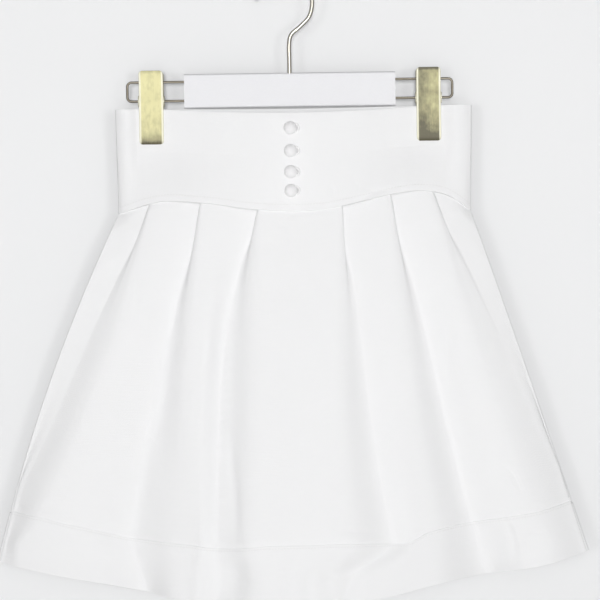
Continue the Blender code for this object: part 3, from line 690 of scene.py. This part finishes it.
# %% The recipe of a material
class Recipe:
    """A material's node tree with its Principled shader."""

    def __init__(self, name, **constants):
        self.material = bpy.data.materials.new(name)
        self.material.use_nodes = True
        self.tree = self.material.node_tree
        self.shader = self.tree.nodes["Principled BSDF"]
        for socket, value in constants.items():
            self.shader.inputs[socket.replace("_", " ")].default_value = value

    def put(self, socket, value):
        """Link a value to a socket, or set a plain number or colour on it."""
        if isinstance(value, Value):
            self.tree.links.new(value.socket, socket)
        else:
            socket.default_value = value

    def node(self, kind, settings=None, inputs=None, output=0):
        """Any node: its type, its settings, and what its sockets get. The settings are made first."""
        made = self.tree.nodes.new(kind)
        for key, value in (settings or {}).items():
            setattr(made, key, value)
        for key, value in (inputs or {}).items():
            self.put(made.inputs[key], value)
        return Value(self, made.outputs[output])

    def cut_place(self, layer="cut"):
        """The place on the flat cut, in metres: from the top edge, or with "foot" from the lower one."""
        return self.node("ShaderNodeUVMap", {"uv_map": layer})

    def object_place(self):
        """The place on the piece itself, in metres."""
        return self.node("ShaderNodeTexCoord", output="Object")

    def parts(self, vector):
        """x, y and z of a vector."""
        split = self.tree.nodes.new("ShaderNodeSeparateXYZ")
        self.put(split.inputs[0], vector)
        return [Value(self, socket) for socket in split.outputs]

    def noise(self, vector, scale, detail=3.0):
        """Noise with its own scale along each axis, a number of waves a metre."""
        scaled = self.node("ShaderNodeMapping", {}, {"Vector": vector, "Scale": scale})
        return self.node("ShaderNodeTexNoise", {}, {"Vector": scaled, "Scale": 1.0, "Detail": detail})

    def mix(self, share, first, second):
        """A colour between two colours."""
        made = self.tree.nodes.new("ShaderNodeMix")
        made.data_type = "RGBA"
        for key, value in (("Factor_Float", share), ("A_Color", first), ("B_Color", second)):
            socket = next(item for item in made.inputs if item.identifier == key)
            self.put(socket, value)
        return Value(self, next(item for item in made.outputs if item.identifier == "Result_Color"))

    def bump(self, height, distance):
        """Raise the surface by height * distance, for the light alone."""
        self.feed("Normal", self.node("ShaderNodeBump", {}, {"Height": height, "Distance": distance}))

    def feed(self, socket, value):
        """Give a value to one of the shader's sockets."""
        self.put(self.shader.inputs[socket], value)


# %% [markdown]
# ## The cotton
#
# The cloth is a dense plain weave with a slightly uneven yarn. Its threads are finer than a pixel of
# the photograph, so they are bump, not geometry: a product of two sines makes the over and under, and
# a noise drawn out along the weft makes the slubs that show as short faint lines.

# %% Cotton material
THREAD = 0.55 * MM
SLUB_SCALE = (55.0, 900.0, 1.0)
MOTTLE_SCALE = (30.0, 30.0, 30.0)
SLUB_SHARE = 0.7
MOTTLE_SHARE = 0.5
TONE_SHIFT = 0.1
COTTON = (0.824, 0.824, 0.830, 1.0)
COTTON_SHADE = (0.799, 0.799, 0.806, 1.0)
# Colour and share of the painted shadow in a stitch row.
STITCH_SHADOW_COLOUR = (0.68, 0.68, 0.68, 1.0)
STITCH = 2.8 * MM
STITCH_GAP = 0.3
STITCH_RISE = 1 / 3
STITCH_PAINTED_SHADOW = 0.3
STITCH_DIP = 2.5
ROW_HALF = 0.7 * MM
HEM_ROW = 2.2 * MM
WAIST_ROW = 6.0 * MM
WEAVE_RISE = 0.5
SLUB_RISE = 1.6
WEAVE_BUMP = 0.06 * MM


def stitches(made, layer, row):
    """A row of stitches at a distance from an edge: a ridge across the row times dashes along it."""
    along, distance, _ = made.parts(made.cut_place(layer))
    off_row = (distance - row).size().rise(0.0, ROW_HALF)
    dashes = (along * (math.pi / STITCH)).sine().size().rise(STITCH_GAP, STITCH_RISE)
    return (1 - off_row) * dashes


def cotton(name, light=COTTON, shade=COTTON_SHADE, row=None):
    """Woven cotton: base colour from slubs and a soft mottle, bump from the weave and the slubs; on a sewn
    row, stitches pressed in and painted darker as painted shadow.
    """
    made = Recipe(name, Roughness=0.9, Sheen_Weight=0.12, Sheen_Roughness=0.6)
    place = made.cut_place()
    across, down, _ = made.parts(place)
    weave = (across * (math.pi / THREAD)).sine() * (down * (math.pi / THREAD)).sine()
    slub = made.noise(place, SLUB_SCALE)
    mottle = made.noise(made.object_place(), MOTTLE_SCALE)
    tone = SLUB_SHARE * slub + MOTTLE_SHARE * mottle - TONE_SHIFT
    colour = made.mix(tone.share(), shade, light)
    height = weave * WEAVE_RISE + slub * SLUB_RISE
    if row:
        sewn = stitches(made, *row)
        # The stitch row is painted darker, as painted shadow in its dents; the dents themselves are bump.
        colour = made.mix(sewn * STITCH_PAINTED_SHADOW, colour, STITCH_SHADOW_COLOUR)
        height = height - sewn * STITCH_DIP
    made.feed("Base Color", colour)
    made.bump(height, WEAVE_BUMP)
    return made.material


skirt_cotton = cotton("skirt cotton")
hem_cotton = cotton("hem cotton", row=("cut", HEM_ROW))
band_cotton = cotton("waistband cotton", row=("foot", WAIST_ROW))
print("cotton:", len(skirt_cotton.node_tree.nodes), "nodes")

# %% [markdown]
# ## The skirt
#
# The front is one pleated panel and the back is two that meet in a seam. Pinned cloth could be left to
# fall in a simulation, but its pleats would settle somewhere else each time a size changes. Here each
# panel is its grid with its creases and a thin wall, and its cut is measured along the cloth: the
# length that goes round the pleats and the length down.

# %% Skirt and hem band shells
SKIRT_WALL = 0.9
HEM_WALL = 1.5


def declare_sheet(grid):
    """Work out the grid's lengths along the cut and its steps across and down; nothing is kept or said."""
    lengths = cut_lengths(grid)
    across, down = grid[:-1, 1:] - grid[:-1, :-1], grid[1:, :-1] - grid[:-1, :-1]


def middle_column(face):
    """The sample nearest the middle of the face's centre panel."""
    return int(np.argmin(np.abs(face_grid(face, np.array([1.0]))[0, :, 0] - GARMENT_X)))


def skirt_pieces(kind, down, wall, material):
    """The front piece and the two back ones of the skirt or of its hem band."""
    front = creased(face_grid(FRONT, down), FRONT, FRONT_CREASES, down)
    back = creased(face_grid(BACK, down), BACK, BACK_CREASES, down)
    middle = middle_column(BACK)
    left, right = back[:, : middle + 1].copy(), back[:, middle:].copy()
    left[:, -1, 0] -= SEAM_GAP / 2
    right[:, 0, 0] += SEAM_GAP / 2
    for end, grid in (("front", front), ("back_left", left), ("back_right", right)):
        piece = cloth_shell(f"{kind}_{end}_cloth", grid, wall, material)
        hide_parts(f"{kind}_{end}")
        declare_sheet(grid)
        report(piece)


skirt_pieces("skirt", skirt_down, SKIRT_WALL, skirt_cotton)
skirt_pieces("hem_band", hem_down, HEM_WALL, hem_cotton)

# %% [markdown]
# ## The waistband
#
# Three shaped panels in front and two behind make the high band. Between the clips its front wall
# bows forward and its top edge sags, and where a clip bites, both walls are pinched together. A
# lattice could bend a flat strip that way, but its handles say nothing in millimetres. Here the
# depth is a formula of the place across and down, with the clips' places in it.

# %% Waistband panels
BAND_ROWS = 64
BAND_STEP = 1.3
BAND_SHELL_WALL = 2.2
BAND_ROLL = 0.15
BAND_STRAIGHT = 0.6
HALF_LAP = 0.025


def band_depth(x, down, face):
    """Half depth of the band: bowed between the clips, pinched at them, an oval at its foot."""
    reach = between(BAND_HALF_TOP, BAND_HALF_FOOT, down)
    clip = np.where(x < 0, CLIP_SPAN - HANGER_X + GARMENT_X, CLIP_SPAN + HANGER_X - GARMENT_X)
    inside = np.clip(1 - (x / (clip - CLIP_HOLD)) ** 2, 0.0, 1.0)
    past = np.clip((np.abs(x) - clip - CLIP_HOLD) / (reach - clip - CLIP_HOLD), 0.0, 1.0)
    top = CLIP_PINCH + face.bow * inside**BOW_POWER + END_LOOP * np.sin(math.pi * past)
    foot = oval_depth(x, reach, WAIST_DEPTH, *WAIST_OVAL)
    t = np.clip((down - CLIP_BITE) / (1 - CLIP_BITE), 0.0, 1.0)
    return between(top, foot, BAND_STRAIGHT * t + (1 - BAND_STRAIGHT) * smooth_step(t))


def band_heights(x, face):
    """Top and foot of the band at x: the top sags between the clips."""
    sag = np.clip(1 - (x / CLIP_SPAN) ** 2, 0.0, 1.0) ** SAG_POWER
    return BAND_TOP_Z - face.sag * sag, height_at(x, face.waist)


def band_grid(face, start, end):
    """One band panel between two places across, given at its foot. Side panels turn the corner."""
    count = int(abs(end - start) / BAND_STEP)
    turns = np.linspace(math.asin(start / BAND_HALF_FOOT), math.asin(end / BAND_HALF_FOOT), count)
    down = np.linspace(0.0, 1.0, BAND_ROWS)[:, None]
    x = np.sin(turns)[None, :] * between(BAND_HALF_TOP, BAND_HALF_FOOT, down)
    y = np.maximum(band_depth(x, down, face), BAND_SIDE_ROUND)
    sides = ((0, 0), (int(start == -BAND_HALF_FOOT), int(end == BAND_HALF_FOOT)))
    x = np.pad(x, sides, "edge")
    y = np.pad(y, sides, constant_values=SEAM_GAP / 2)
    top, foot = band_heights(x, face)
    return np.stack([x + GARMENT_X, face.towards * y, between(top, foot, down)], axis=-1)


BAND_PANELS = (
    ("band_front_left", FRONT, -BAND_HALF_FOOT, -BAND_PANEL_SEAM + HALF_LAP),
    ("band_front_centre", FRONT, -BAND_PANEL_SEAM - HALF_LAP, BAND_PANEL_SEAM + HALF_LAP),
    ("band_front_right", FRONT, BAND_PANEL_SEAM - HALF_LAP, BAND_HALF_FOOT),
    ("band_back_left", BACK, -BAND_HALF_FOOT, HALF_LAP),
    ("band_back_right", BACK, -HALF_LAP, BAND_HALF_FOOT),
)
for name, face, start, end in BAND_PANELS:
    grid = band_grid(face, start, end)
    if face is FRONT:
        outward = grid_normals(grid) * face.towards
        grid = grid - outward * crease_push(grid, BAND_CREASES)[..., None]
    piece = cloth_shell(f"{name}_cloth", grid, BAND_SHELL_WALL, band_cotton, BAND_ROLL)
    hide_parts(name)
    declare_sheet(grid)
    report(piece)

# %% [markdown]
# ## Buttons and their loops
#
# Each button is a dome covered with the same cotton, so its cloth is gathered a little towards the
# rim. A lathe, or Screw, turns the profile, but a formula can add the gathers in the same step: the
# radius and the height are functions of two angles. Each loop is a closed ring of cotton cord. A
# button and its loop are made flat first and then laid on the band, in three directions that are
# measured on its curved front.

# %% Places on the waistband
BUTTON_X = -3.2
BUTTON_HEIGHTS = (-149.5, -171.0, -190.8, -208.6)
PANEL_REACH = 4.0


def band_surface(x, z):
    """A point on the front band's outer face."""
    top, foot = band_heights(np.array([x]), FRONT)
    down = float((z - top[0]) / (foot[0] - top[0]))
    y = -float(band_depth(np.array([x]), down, FRONT)[0]) - BAND_WALL / 2
    return np.array([x + GARMENT_X, y, z])


def band_axes(x, z):
    """Three directions at a point on the band: across, up, and out of the cloth."""
    across = band_surface(x + PANEL_REACH, z) - band_surface(x - PANEL_REACH, z)
    across /= np.linalg.norm(across)
    up = band_surface(x, z + PANEL_REACH) - band_surface(x, z - PANEL_REACH)
    out = np.cross(across, up / np.linalg.norm(up))
    out /= np.linalg.norm(out)
    return np.array([across, np.cross(out, across), out])


print("top button's place:", band_surface(BUTTON_X, BUTTON_HEIGHTS[0]).round(1), "mm")

# %% Round tubes
WIRE_STEPS = 20


def ring_corners(rings, steps, cyclic=False):
    """Corner numbers of the quads between each ring of points and the next."""
    first = np.arange(rings * steps).reshape(rings, steps)
    second = np.roll(first, -1, axis=1)
    quads = np.stack([first, second, np.roll(second, -1, axis=0), np.roll(first, -1, axis=0)], axis=-1)
    return (quads if cyclic else quads[:-1]).reshape(-1, 4)


def tube(path, radius, steps, cyclic=False):
    """A round tube along a path: path + radius * (cos a * side + sin a * up), as points and quads."""
    if cyclic:
        along = np.roll(path, -1, axis=0) - np.roll(path, 1, axis=0)
    else:
        along = np.gradient(path, axis=0)
    along /= np.linalg.norm(along, axis=1, keepdims=True)
    spread = np.ptp(path, axis=0)
    fixed = np.eye(3)[int(np.argmin(spread))]
    side = np.cross(along, fixed)
    side /= np.linalg.norm(side, axis=1, keepdims=True)
    up = np.cross(side, along)
    turns = np.arange(steps) * 2 * math.pi / steps
    radius = np.broadcast_to(np.asarray(radius, float), (len(path),))[:, None, None]
    ring = np.cos(turns)[None, :, None] * side[:, None] + np.sin(turns)[None, :, None] * up[:, None]
    points = (path[:, None] + radius * ring).reshape(-1, 3)
    return points, ring_corners(len(path), steps, cyclic)


# %% Covered domes
BUTTON_RADIUS = 6.2
BUTTON_CROWN = 3.4
CAP_TURN = math.radians(58)
BUTTON_RIM = 0.8
BUTTON_UNDERCUT = 0.5
SHANK_RADIUS = 2.2
SHANK_HEIGHT = 0.9
GATHERS = 13
GATHER_DEPTH = 0.16
GATHER_UNDER = 0.6
DOME_RINGS = 20
ROUND_STEPS = 72
MERGE_WITHIN = 0.01 * MM


def dome_button():
    """A dome: radius r sin a / sin cap, height crown (cos a - cos cap) / (1 - cos cap), then its foot."""
    a = np.linspace(0.0, CAP_TURN, DOME_RINGS)
    turn = np.arange(ROUND_STEPS) * 2 * math.pi / ROUND_STEPS
    rim = SEAM_GAP + SHANK_HEIGHT
    radii = np.concatenate([BUTTON_RADIUS * np.sin(a) / math.sin(CAP_TURN),
                            [BUTTON_RADIUS, BUTTON_RADIUS - BUTTON_UNDERCUT, SHANK_RADIUS, SHANK_RADIUS]])
    dome = (np.cos(a) - math.cos(CAP_TURN)) / (1 - math.cos(CAP_TURN))
    heights = np.concatenate([rim + BUTTON_RIM + BUTTON_CROWN * dome,
                              [rim + BUTTON_UNDERCUT, rim, rim, SEAM_GAP]])
    gather = np.concatenate([smooth_step(a / CAP_TURN) ** 2, [1.0, GATHER_UNDER, 0.0, 0.0]])
    radius = radii[:, None] + (GATHER_DEPTH * gather)[:, None] * np.sin(GATHERS * turn)[None, :]
    x, y = radius * np.cos(turn), radius * np.sin(turn)
    z = np.broadcast_to(heights[:, None], x.shape)
    points = np.stack([x, y, z], axis=-1)
    points[0, :, :2] = 0.0
    return points.reshape(-1, 3), ring_corners(len(radii), ROUND_STEPS)[:, [0, 3, 2, 1]]


def close_mesh(piece):
    """Merge doubled points at poles and close the open ends of a piece's mesh."""
    shape = bmesh.new()
    shape.from_mesh(piece.data)
    bmesh.ops.remove_doubles(shape, verts=shape.verts, dist=MERGE_WITHIN)
    bmesh.ops.holes_fill(shape, edges=[edge for edge in shape.edges if edge.is_boundary], sides=0)
    bmesh.ops.recalc_face_normals(shape, faces=shape.faces)
    shape.to_mesh(piece.data)
    shape.free()
    piece.data.set_sharp_from_angle(angle=SHARP_ANGLE)
    return piece


print("button:", len(dome_button()[0]), "points before its crown is merged")

# %% Buttons and loops on the band
LOOP_CORD = 2.0
LOOP_RADIUS = 3.6
LOOP_REACH = 8.0
BUTTON_COTTON = (0.825, 0.822, 0.828, 1.0)
BUTTON_SHADE = (0.795, 0.79, 0.798, 1.0)
LOOP_COTTON = (0.84, 0.835, 0.84, 1.0)
LOOP_SHADE = (0.81, 0.80, 0.805, 1.0)
button_cotton = cotton("button cotton", BUTTON_COTTON, BUTTON_SHADE)
loop_cotton = cotton("loop cotton", LOOP_COTTON, LOOP_SHADE)

turn = (np.arange(ROUND_STEPS) + 0.5) * 2 * math.pi / ROUND_STEPS
reach = np.where(np.cos(turn) > 0, LOOP_REACH - LOOP_RADIUS, 0.0)
loop_path = np.stack([reach + LOOP_RADIUS * np.cos(turn), LOOP_RADIUS * np.sin(turn),
                      np.full_like(turn, SEAM_GAP + LOOP_CORD / 2)], axis=1)
for number, height in enumerate(BUTTON_HEIGHTS, start=1):
    axes, place = band_axes(BUTTON_X, height), band_surface(BUTTON_X, height)
    points, quads = dome_button()
    points, cut = points @ axes + place, points[:, :2] * MM
    button = make_piece(f"button_{number}_covered", points, quads, button_cotton, cut)
    close_mesh(button)
    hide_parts(f"button_{number}")
    points, quads = tube(loop_path, LOOP_CORD / 2, WIRE_STEPS, cyclic=True)
    points, cut = points @ axes + place, points[:, :2] * MM
    loop = make_piece(f"button_loop_{number}_cord", points, quads, loop_cotton, cut)
    close_mesh(loop)
    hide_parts(f"button_loop_{number}")
report(button)
report(loop)

# %% [markdown]
# ## Brass, wire and card
#
# The clips are brass with painted light on it. Their folded edges get a painted highlight, their jaws
# and finger ends a painted dark reflection, and the right one is painted duller than the left as a
# darker reflection. An image of metal would bring its own light with it, so these marks are written as
# shares that rise from one place to another, with two noises of random tone over them. The wires and
# the card sleeve each drift between two colours.

# %% Sizes and colours of the finishes
# Painted highlight along the clips' folded edges: where it starts and how fast it fades in.
EDGE_HIGHLIGHT_START = 9.2
EDGE_HIGHLIGHT_FADE = 1.0
# Painted dark reflection on the clips: the lengths over which it rises from the jaw, the lower part and the
# finger end.
JAW_Z = -162.0
JAW_PAINTED_REFLECTION = 13.0
LOW_PAINTED_REFLECTION = 32.0
FINGER_Z = -96.0
FINGER_PAINTED_REFLECTION = 2.5
RIGHT_FAR_X = 130.0
SIDE_FADE = 10.0
BRASS_LIGHT = (0.60, 0.565, 0.31, 1.0)
BRASS_DARK = (0.12, 0.11, 0.07, 1.0)
# Colour of the painted highlight on the folded edges.
BRASS_EDGE_HIGHLIGHT = (0.70, 0.68, 0.54, 1.0)
FRAME_LIGHT = (0.30, 0.27, 0.215, 1.0)
FRAME_DARK = (0.20, 0.18, 0.145, 1.0)
HOOK_LIGHT = (0.80, 0.77, 0.68, 1.0)
HOOK_DARK = (0.70, 0.67, 0.58, 1.0)
CARD_DARK = (0.73, 0.73, 0.75, 1.0)
CARD_LIGHT = (0.76, 0.76, 0.78, 1.0)
STREAK_SCALE = (900.0, 40.0, 60.0)
STAIN_SCALE = (240.0, 240.0, 160.0)
PLATING_SCALE = (120.0, 120.0, 120.0)
FIBRE_SCALE = (300.0, 900.0, 900.0)
BRASS_ROUGH = 0.5
STREAK_ROUGH = 0.15
STREAK_BUMP = 0.05
ROUGH_DRIFT = 0.2
# Painted dark reflection: its level on both clips and more on the right one, the far right painted lighter
# again, and its weight at the jaw.
PaintedReflection = namedtuple("PaintedReflection", "base low finger")
BOTH_PAINTED_REFLECTION = PaintedReflection(base=-0.50, low=0.22, finger=0.25)
RIGHT_PAINTED_REFLECTION = PaintedReflection(base=0.72, low=0.23, finger=0.4)
FAR_PAINTED_LIFT = 0.3
JAW_PAINTED_DARKNESS = 0.8
JAW_POWER = 1.5
STREAK_WEAR = 0.25
STAIN_WEAR = 0.8
print("brass from", BRASS_LIGHT[:3], "to", BRASS_DARK[:3])


# %% Metal and card materials
def brass():
    """Brass: painted highlights on the folded edges, painted dark reflections at the jaw and finger end,
    and the right clip painted duller than the left.
    """
    made = Recipe("clip brass", Metallic=0.25)
    place = made.object_place()
    x, _, z = made.parts(place)
    x, z = x * (1 / MM), z * (1 / MM)
    streak = made.noise(place, STREAK_SCALE)
    cloud = made.noise(place, STAIN_SCALE, detail=5.0)
    # Painted dark reflection at the jaw, the lower part and the finger end, and the right clip painted
    # duller than the left.
    jaw = (1 - z.rise(JAW_Z, JAW_PAINTED_REFLECTION)) ** JAW_POWER
    low = 1 - z.rise(JAW_Z, LOW_PAINTED_REFLECTION)
    finger = z.rise(FINGER_Z, FINGER_PAINTED_REFLECTION)
    both, more = (low * reflection.low + finger * reflection.finger + reflection.base for reflection in (BOTH_PAINTED_REFLECTION, RIGHT_PAINTED_REFLECTION))
    painted_dark = both + x.rise(0.0, SIDE_FADE) * (more - FAR_PAINTED_LIFT * x.rise(RIGHT_FAR_X, SIDE_FADE))
    dark = (painted_dark + JAW_PAINTED_DARKNESS * jaw + STREAK_WEAR * streak + STAIN_WEAR * cloud).share()
    # Painted highlight along the folded edges of each plate.
    edge = ((x - HANGER_X).size() - CLIP_SPAN).size().rise(EDGE_HIGHLIGHT_START, EDGE_HIGHLIGHT_FADE)
    body = made.mix(dark, BRASS_LIGHT, BRASS_DARK)
    made.feed("Base Color", made.mix(edge, body, BRASS_EDGE_HIGHLIGHT))
    made.feed("Roughness", BRASS_ROUGH + STREAK_ROUGH * streak)
    made.bump(streak, STREAK_BUMP * MM)
    return made.material


def drifting(name, scale, first, second, raised, rough=None, **constants):
    """A finish whose colour drifts between two with a noise, and its roughness too where one is given."""
    made = Recipe(name, **constants)
    cloud = made.noise(made.object_place(), scale)
    made.feed("Base Color", made.mix(cloud, first, second))
    if rough:
        made.feed("Roughness", rough + ROUGH_DRIFT * cloud)
    made.bump(cloud, raised * MM)
    return made.material


clip_brass = brass()
frame_metal = drifting("frame wire", PLATING_SCALE, FRAME_LIGHT, FRAME_DARK, 0.03, 0.4, Metallic=0.8)
hook_metal = drifting("hook rod", PLATING_SCALE, HOOK_LIGHT, HOOK_DARK, 0.03, 0.25, Metallic=0.8)
sleeve_card = drifting("sleeve card", FIBRE_SCALE, CARD_DARK, CARD_LIGHT, 0.04, Roughness=0.6)
print("metals and card ready")

# %% [markdown]
# ## Hook and frame
#
# The hook is one rod bent to the side and over, the frame is a closed ring of thinner wire, and both
# are tubes along a path. A curve object with a bevel gives the same, but a tube that is worked out
# here can narrow to a rounded tip.

# %% Sizes and route of the wires
HOOK_WIRE = 3.9
HOOK_RADIUS = 26.6
HOOK_TIP = 0.8
FRAME_WIRE = 2.4
FRAME_HALF = 154.3
FRAME_TOP_Z = -103.0
FRAME_FOOT_Z = -121.0
FRAME_CORNER = 4.0
ROUTE_STEPS = 8
ARC_STEPS = 49
CORNER_STEPS = 9
HOOK_STEPS = 28
TIP_TURNS = np.linspace(0.15, math.pi / 2, 6)
TIP_LEAST = 0.05
HookPoint = namedtuple("HookPoint", "x z")
HOOK_ROUTE = named_rows(
    HookPoint, (HANGER_X, -101.4), (HANGER_X, -84.0), (HANGER_X, -68.0), (6.6, -59.2), (14.9, -51.9),
    (23.2, -43.2), (26.4, -33.5),
)


def smooth_route(points, per_span):
    """Points along a Catmull-Rom curve through the given points."""
    points = np.asarray(points, float)
    ends = np.concatenate([[2 * points[0] - points[1]], points, [2 * points[-1] - points[-2]]])
    t = (np.arange(per_span) / per_span)[None, :, None]
    before, start, end, after = (ends[k : len(ends) - 3 + k, None] for k in range(4))
    curve = 0.5 * (2 * start + (end - before) * t + (2 * before - 5 * start + 4 * end - after) * t * t
                   + (3 * start - before - 3 * end + after) * t**3)
    return np.concatenate([curve.reshape(-1, points.shape[1]), points[-1:]])


print("stem and bend:", len(smooth_route(HOOK_ROUTE, ROUTE_STEPS)), "points")


# %% Bend the hook and the frame
def make_hook():
    """Stem, bend and half circle, with a rounded tip."""
    turns = np.linspace(0.0, math.pi, ARC_STEPS)
    over = np.stack([np.cos(turns), np.zeros(ARC_STEPS), np.sin(turns)], axis=1) * HOOK_RADIUS
    over[:, 2] += HOOK_WIRE / 2 - HOOK_RADIUS
    stem = smooth_route([(point.x, 0.0, point.z) for point in HOOK_ROUTE] + [tuple(over[0])], ROUTE_STEPS)
    path = np.concatenate([stem[:-1], over])
    tip = path[-1] - np.array([0.0, 0.0, 1.0]) * (HOOK_TIP * np.sin(TIP_TURNS))[:, None]
    shares = np.concatenate([np.ones(len(path)), np.cos(TIP_TURNS).clip(TIP_LEAST)])
    points, quads = tube(np.concatenate([path, tip]), HOOK_WIRE / 2 * shares, HOOK_STEPS)
    piece = close_mesh(make_piece("hanger_hook_rod", points, quads, hook_metal))
    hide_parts("hanger_hook")
    return piece


def make_frame():
    """A closed rounded rectangle of wire."""
    corners = ((1, FRAME_TOP_Z, 0), (-1, FRAME_TOP_Z, 90),
               (-1, FRAME_FOOT_Z, 180), (1, FRAME_FOOT_Z, 270))
    path = []
    for side, z, start in corners:
        turns = np.radians(np.linspace(start, start + 90, CORNER_STEPS))
        middle_z = z - FRAME_CORNER if z == FRAME_TOP_Z else z + FRAME_CORNER
        x = HANGER_X + side * (FRAME_HALF - FRAME_CORNER) + FRAME_CORNER * np.cos(turns)
        height = middle_z + FRAME_CORNER * np.sin(turns)
        path.append(np.stack([x, np.zeros(CORNER_STEPS), height], axis=1))
    points, quads = tube(np.concatenate(path), FRAME_WIRE / 2, WIRE_STEPS, cyclic=True)
    piece = close_mesh(make_piece("hanger_frame_wire", points, quads, frame_metal))
    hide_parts("hanger_frame")
    return piece


report(make_hook())
report(make_frame())

# %% [markdown]
# ## Clips
#
# Each clip is two brass plates on a spool, with a finger end above and a jaw that bites the band. A
# box with a bevel would do for its outline, but not for the bends in its side. Here a plate is a
# profile carried straight across and thickened as the cloth is. The spools and the card sleeve keep
# the solid model's own shape and only get their finish.

# %% Clip plates
CLIP_WIDTH = 22.5
CLIP_SHEET = 1.2
CLIP_CORNER = 3.0
CLIP_ROLL = 0.3
PLATE_COLUMNS = 25
PlateStep = namedtuple("PlateStep", "z out")
PLATE_STEPS = named_rows(
    PlateStep, (-93.0, 7.2), (-97.0, 6.3), (-104.0, 5.1), (-112.0, 4.5), (-121.0, 4.4),
    (-130.0, 4.05), (-140.0, 3.85), (-156.0, 3.85), (-160.0, 4.0), (JAW_Z, 4.6),
)


def plate_grid(middle, towards):
    """A clip's plate: its profile down, straight across, with its corners rounded at both ends."""
    profile = smooth_route([(step.out, step.z) for step in PLATE_STEPS], ROUTE_STEPS)
    top, foot = profile[0, 1], profile[-1, 1]
    near = np.minimum(top - profile[:, 1], profile[:, 1] - foot).clip(0.0, CLIP_CORNER)
    half = CLIP_WIDTH / 2 - CLIP_CORNER + np.sqrt(CLIP_CORNER**2 - (CLIP_CORNER - near) ** 2)
    across = np.sin(np.linspace(-math.pi / 2, math.pi / 2, PLATE_COLUMNS))
    x = middle + half[:, None] * across[None, :]
    y = np.broadcast_to(towards * profile[:, :1], x.shape)
    z = np.broadcast_to(profile[:, 1:], x.shape)
    return np.stack([x, y, z], axis=-1)


for side, sign in (("left", -1), ("right", 1)):
    for end, towards in (("front", -1), ("back", 1)):
        grid = plate_grid(HANGER_X + sign * CLIP_SPAN, towards)
        plate = cloth_shell(f"clip_{side}_{end}_plate", grid, CLIP_SHEET, clip_brass, CLIP_ROLL)
        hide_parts(f"clip_{side}_{end}")
report(plate)

for name, finish in (
    ("clip_left_pivot", clip_brass), ("clip_right_pivot", clip_brass), ("hanger_sleeve", sleeve_card),
):
    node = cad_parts[name]
    node.data.materials.clear()
    node.data.materials.append(finish)
    print(name, "gets", finish.name)

# %% [markdown]
# ## Wall, floor and light
#
# The skirt hangs close to a pale wall, which catches a thin soft shadow on each side of it. The wall
# and the floor are stage, not part of the object. The wall is seen from the front alone: its other
# side is clear, so that the back of the skirt can be looked at too.

# %% Stage
WALL_Y = 56.0
FLOOR_Z = -760.0
STAGE_HALF = 4000.0
WALL_COLOUR = (0.667, 0.670, 0.676, 1.0)
WALL_GLOW = 0.17
GLOW_COLOUR = (0.993, 0.995, 1.0, 1.0)


def stage_plane(name, centre, across, up, material):
    """A flat square, from its middle and its two half edges."""
    centre, across, up = np.array((centre, across, up))
    foot, top = centre - up, centre + up
    points = np.array([foot - across, foot + across, top + across, top - across])
    mesh = bpy.data.meshes.new(name)
    mesh.from_pydata((points * MM).tolist(), [], [(0, 1, 2, 3)])
    mesh.materials.append(material)
    made = bpy.data.objects.new(name, mesh)
    bpy.context.scene.collection.objects.link(made)
    return made


def wall_paint():
    """Matt paint on the front, clear from behind."""
    made = Recipe("wall paint", Base_Color=WALL_COLOUR, Roughness=1.0, Emission_Strength=WALL_GLOW)
    made.shader.inputs["Emission Color"].default_value = GLOW_COLOUR
    made.shader.inputs["Specular IOR Level"].default_value = 0.0
    behind = made.node("ShaderNodeNewGeometry", output="Backfacing")
    clear = made.node("ShaderNodeBsdfTransparent")
    paint = Value(made, made.shader.outputs[0])
    mixed = made.node("ShaderNodeMixShader", {}, {0: behind, 1: paint, 2: clear})
    made.tree.links.new(mixed.socket, made.tree.nodes["Material Output"].inputs[0])
    return made.material


floor_paint = Recipe("floor paint", Base_Color=(0.80, 0.80, 0.79, 1.0), Roughness=0.9).material
wall_middle = (0, WALL_Y, FLOOR_Z + STAGE_HALF)
wall = stage_plane("wall", wall_middle, (STAGE_HALF, 0, 0), (0, 0, STAGE_HALF), wall_paint())
wall.visible_diffuse = False
wall.visible_glossy = False
wall.visible_shadow = False
stage_plane("floor", (0, 0, FLOOR_Z), (STAGE_HALF, 0, 0), (0, STAGE_HALF, 0), floor_paint)
print("wall at y", WALL_Y, "mm, floor at z", FLOOR_Z, "mm")

# %% [markdown]
# ## Light
#
# The picture is nearly shadowless, so the light comes from very large soft lamps in front. One lamp
# would do for that, but then a panel that faces left would be as bright as one that faces right. Four
# weaker ones from the sides, above and below set how bright each side of a pleat is.

# %% Lights
Light = namedtuple("Light", "name place size power")
LIGHTS = named_rows(
    Light,
    ("key", (0.0, -4000.0, -440.0), 260.0, 74.5),
    ("left", (-470.0, -2300.0, -340.0), 280.0, 7.2),
    ("right", (470.0, -2300.0, -340.0), 280.0, 8.0),
    ("above", (0.0, -2300.0, 60.0), 300.0, 2.5),
    ("below", (0.0, -2300.0, -740.0), 300.0, 4.6),
)
LIGHTS_AIM = (0.0, 0.0, -311.0)
WORLD_STRENGTH = 0.14
for light in LIGHTS:
    lamp = bpy.data.lights.new(light.name, "AREA")
    lamp.size = light.size * MM
    lamp.energy = light.power
    thing = bpy.data.objects.new(light.name, lamp)
    thing.location = Vector(light.place) * MM
    towards = Vector(LIGHTS_AIM) * MM - thing.location
    thing.rotation_euler = towards.to_track_quat("-Z", "Y").to_euler()
    bpy.context.scene.collection.objects.link(thing)
world = bpy.data.worlds.new("studio")
world.use_nodes = True
world.node_tree.nodes["Background"].inputs["Color"].default_value = (1.0, 1.0, 1.0, 1.0)
world.node_tree.nodes["Background"].inputs["Strength"].default_value = WORLD_STRENGTH
bpy.context.scene.world = world
bpy.context.scene.view_settings.view_transform = "Standard"
print("lights:", len(LIGHTS))
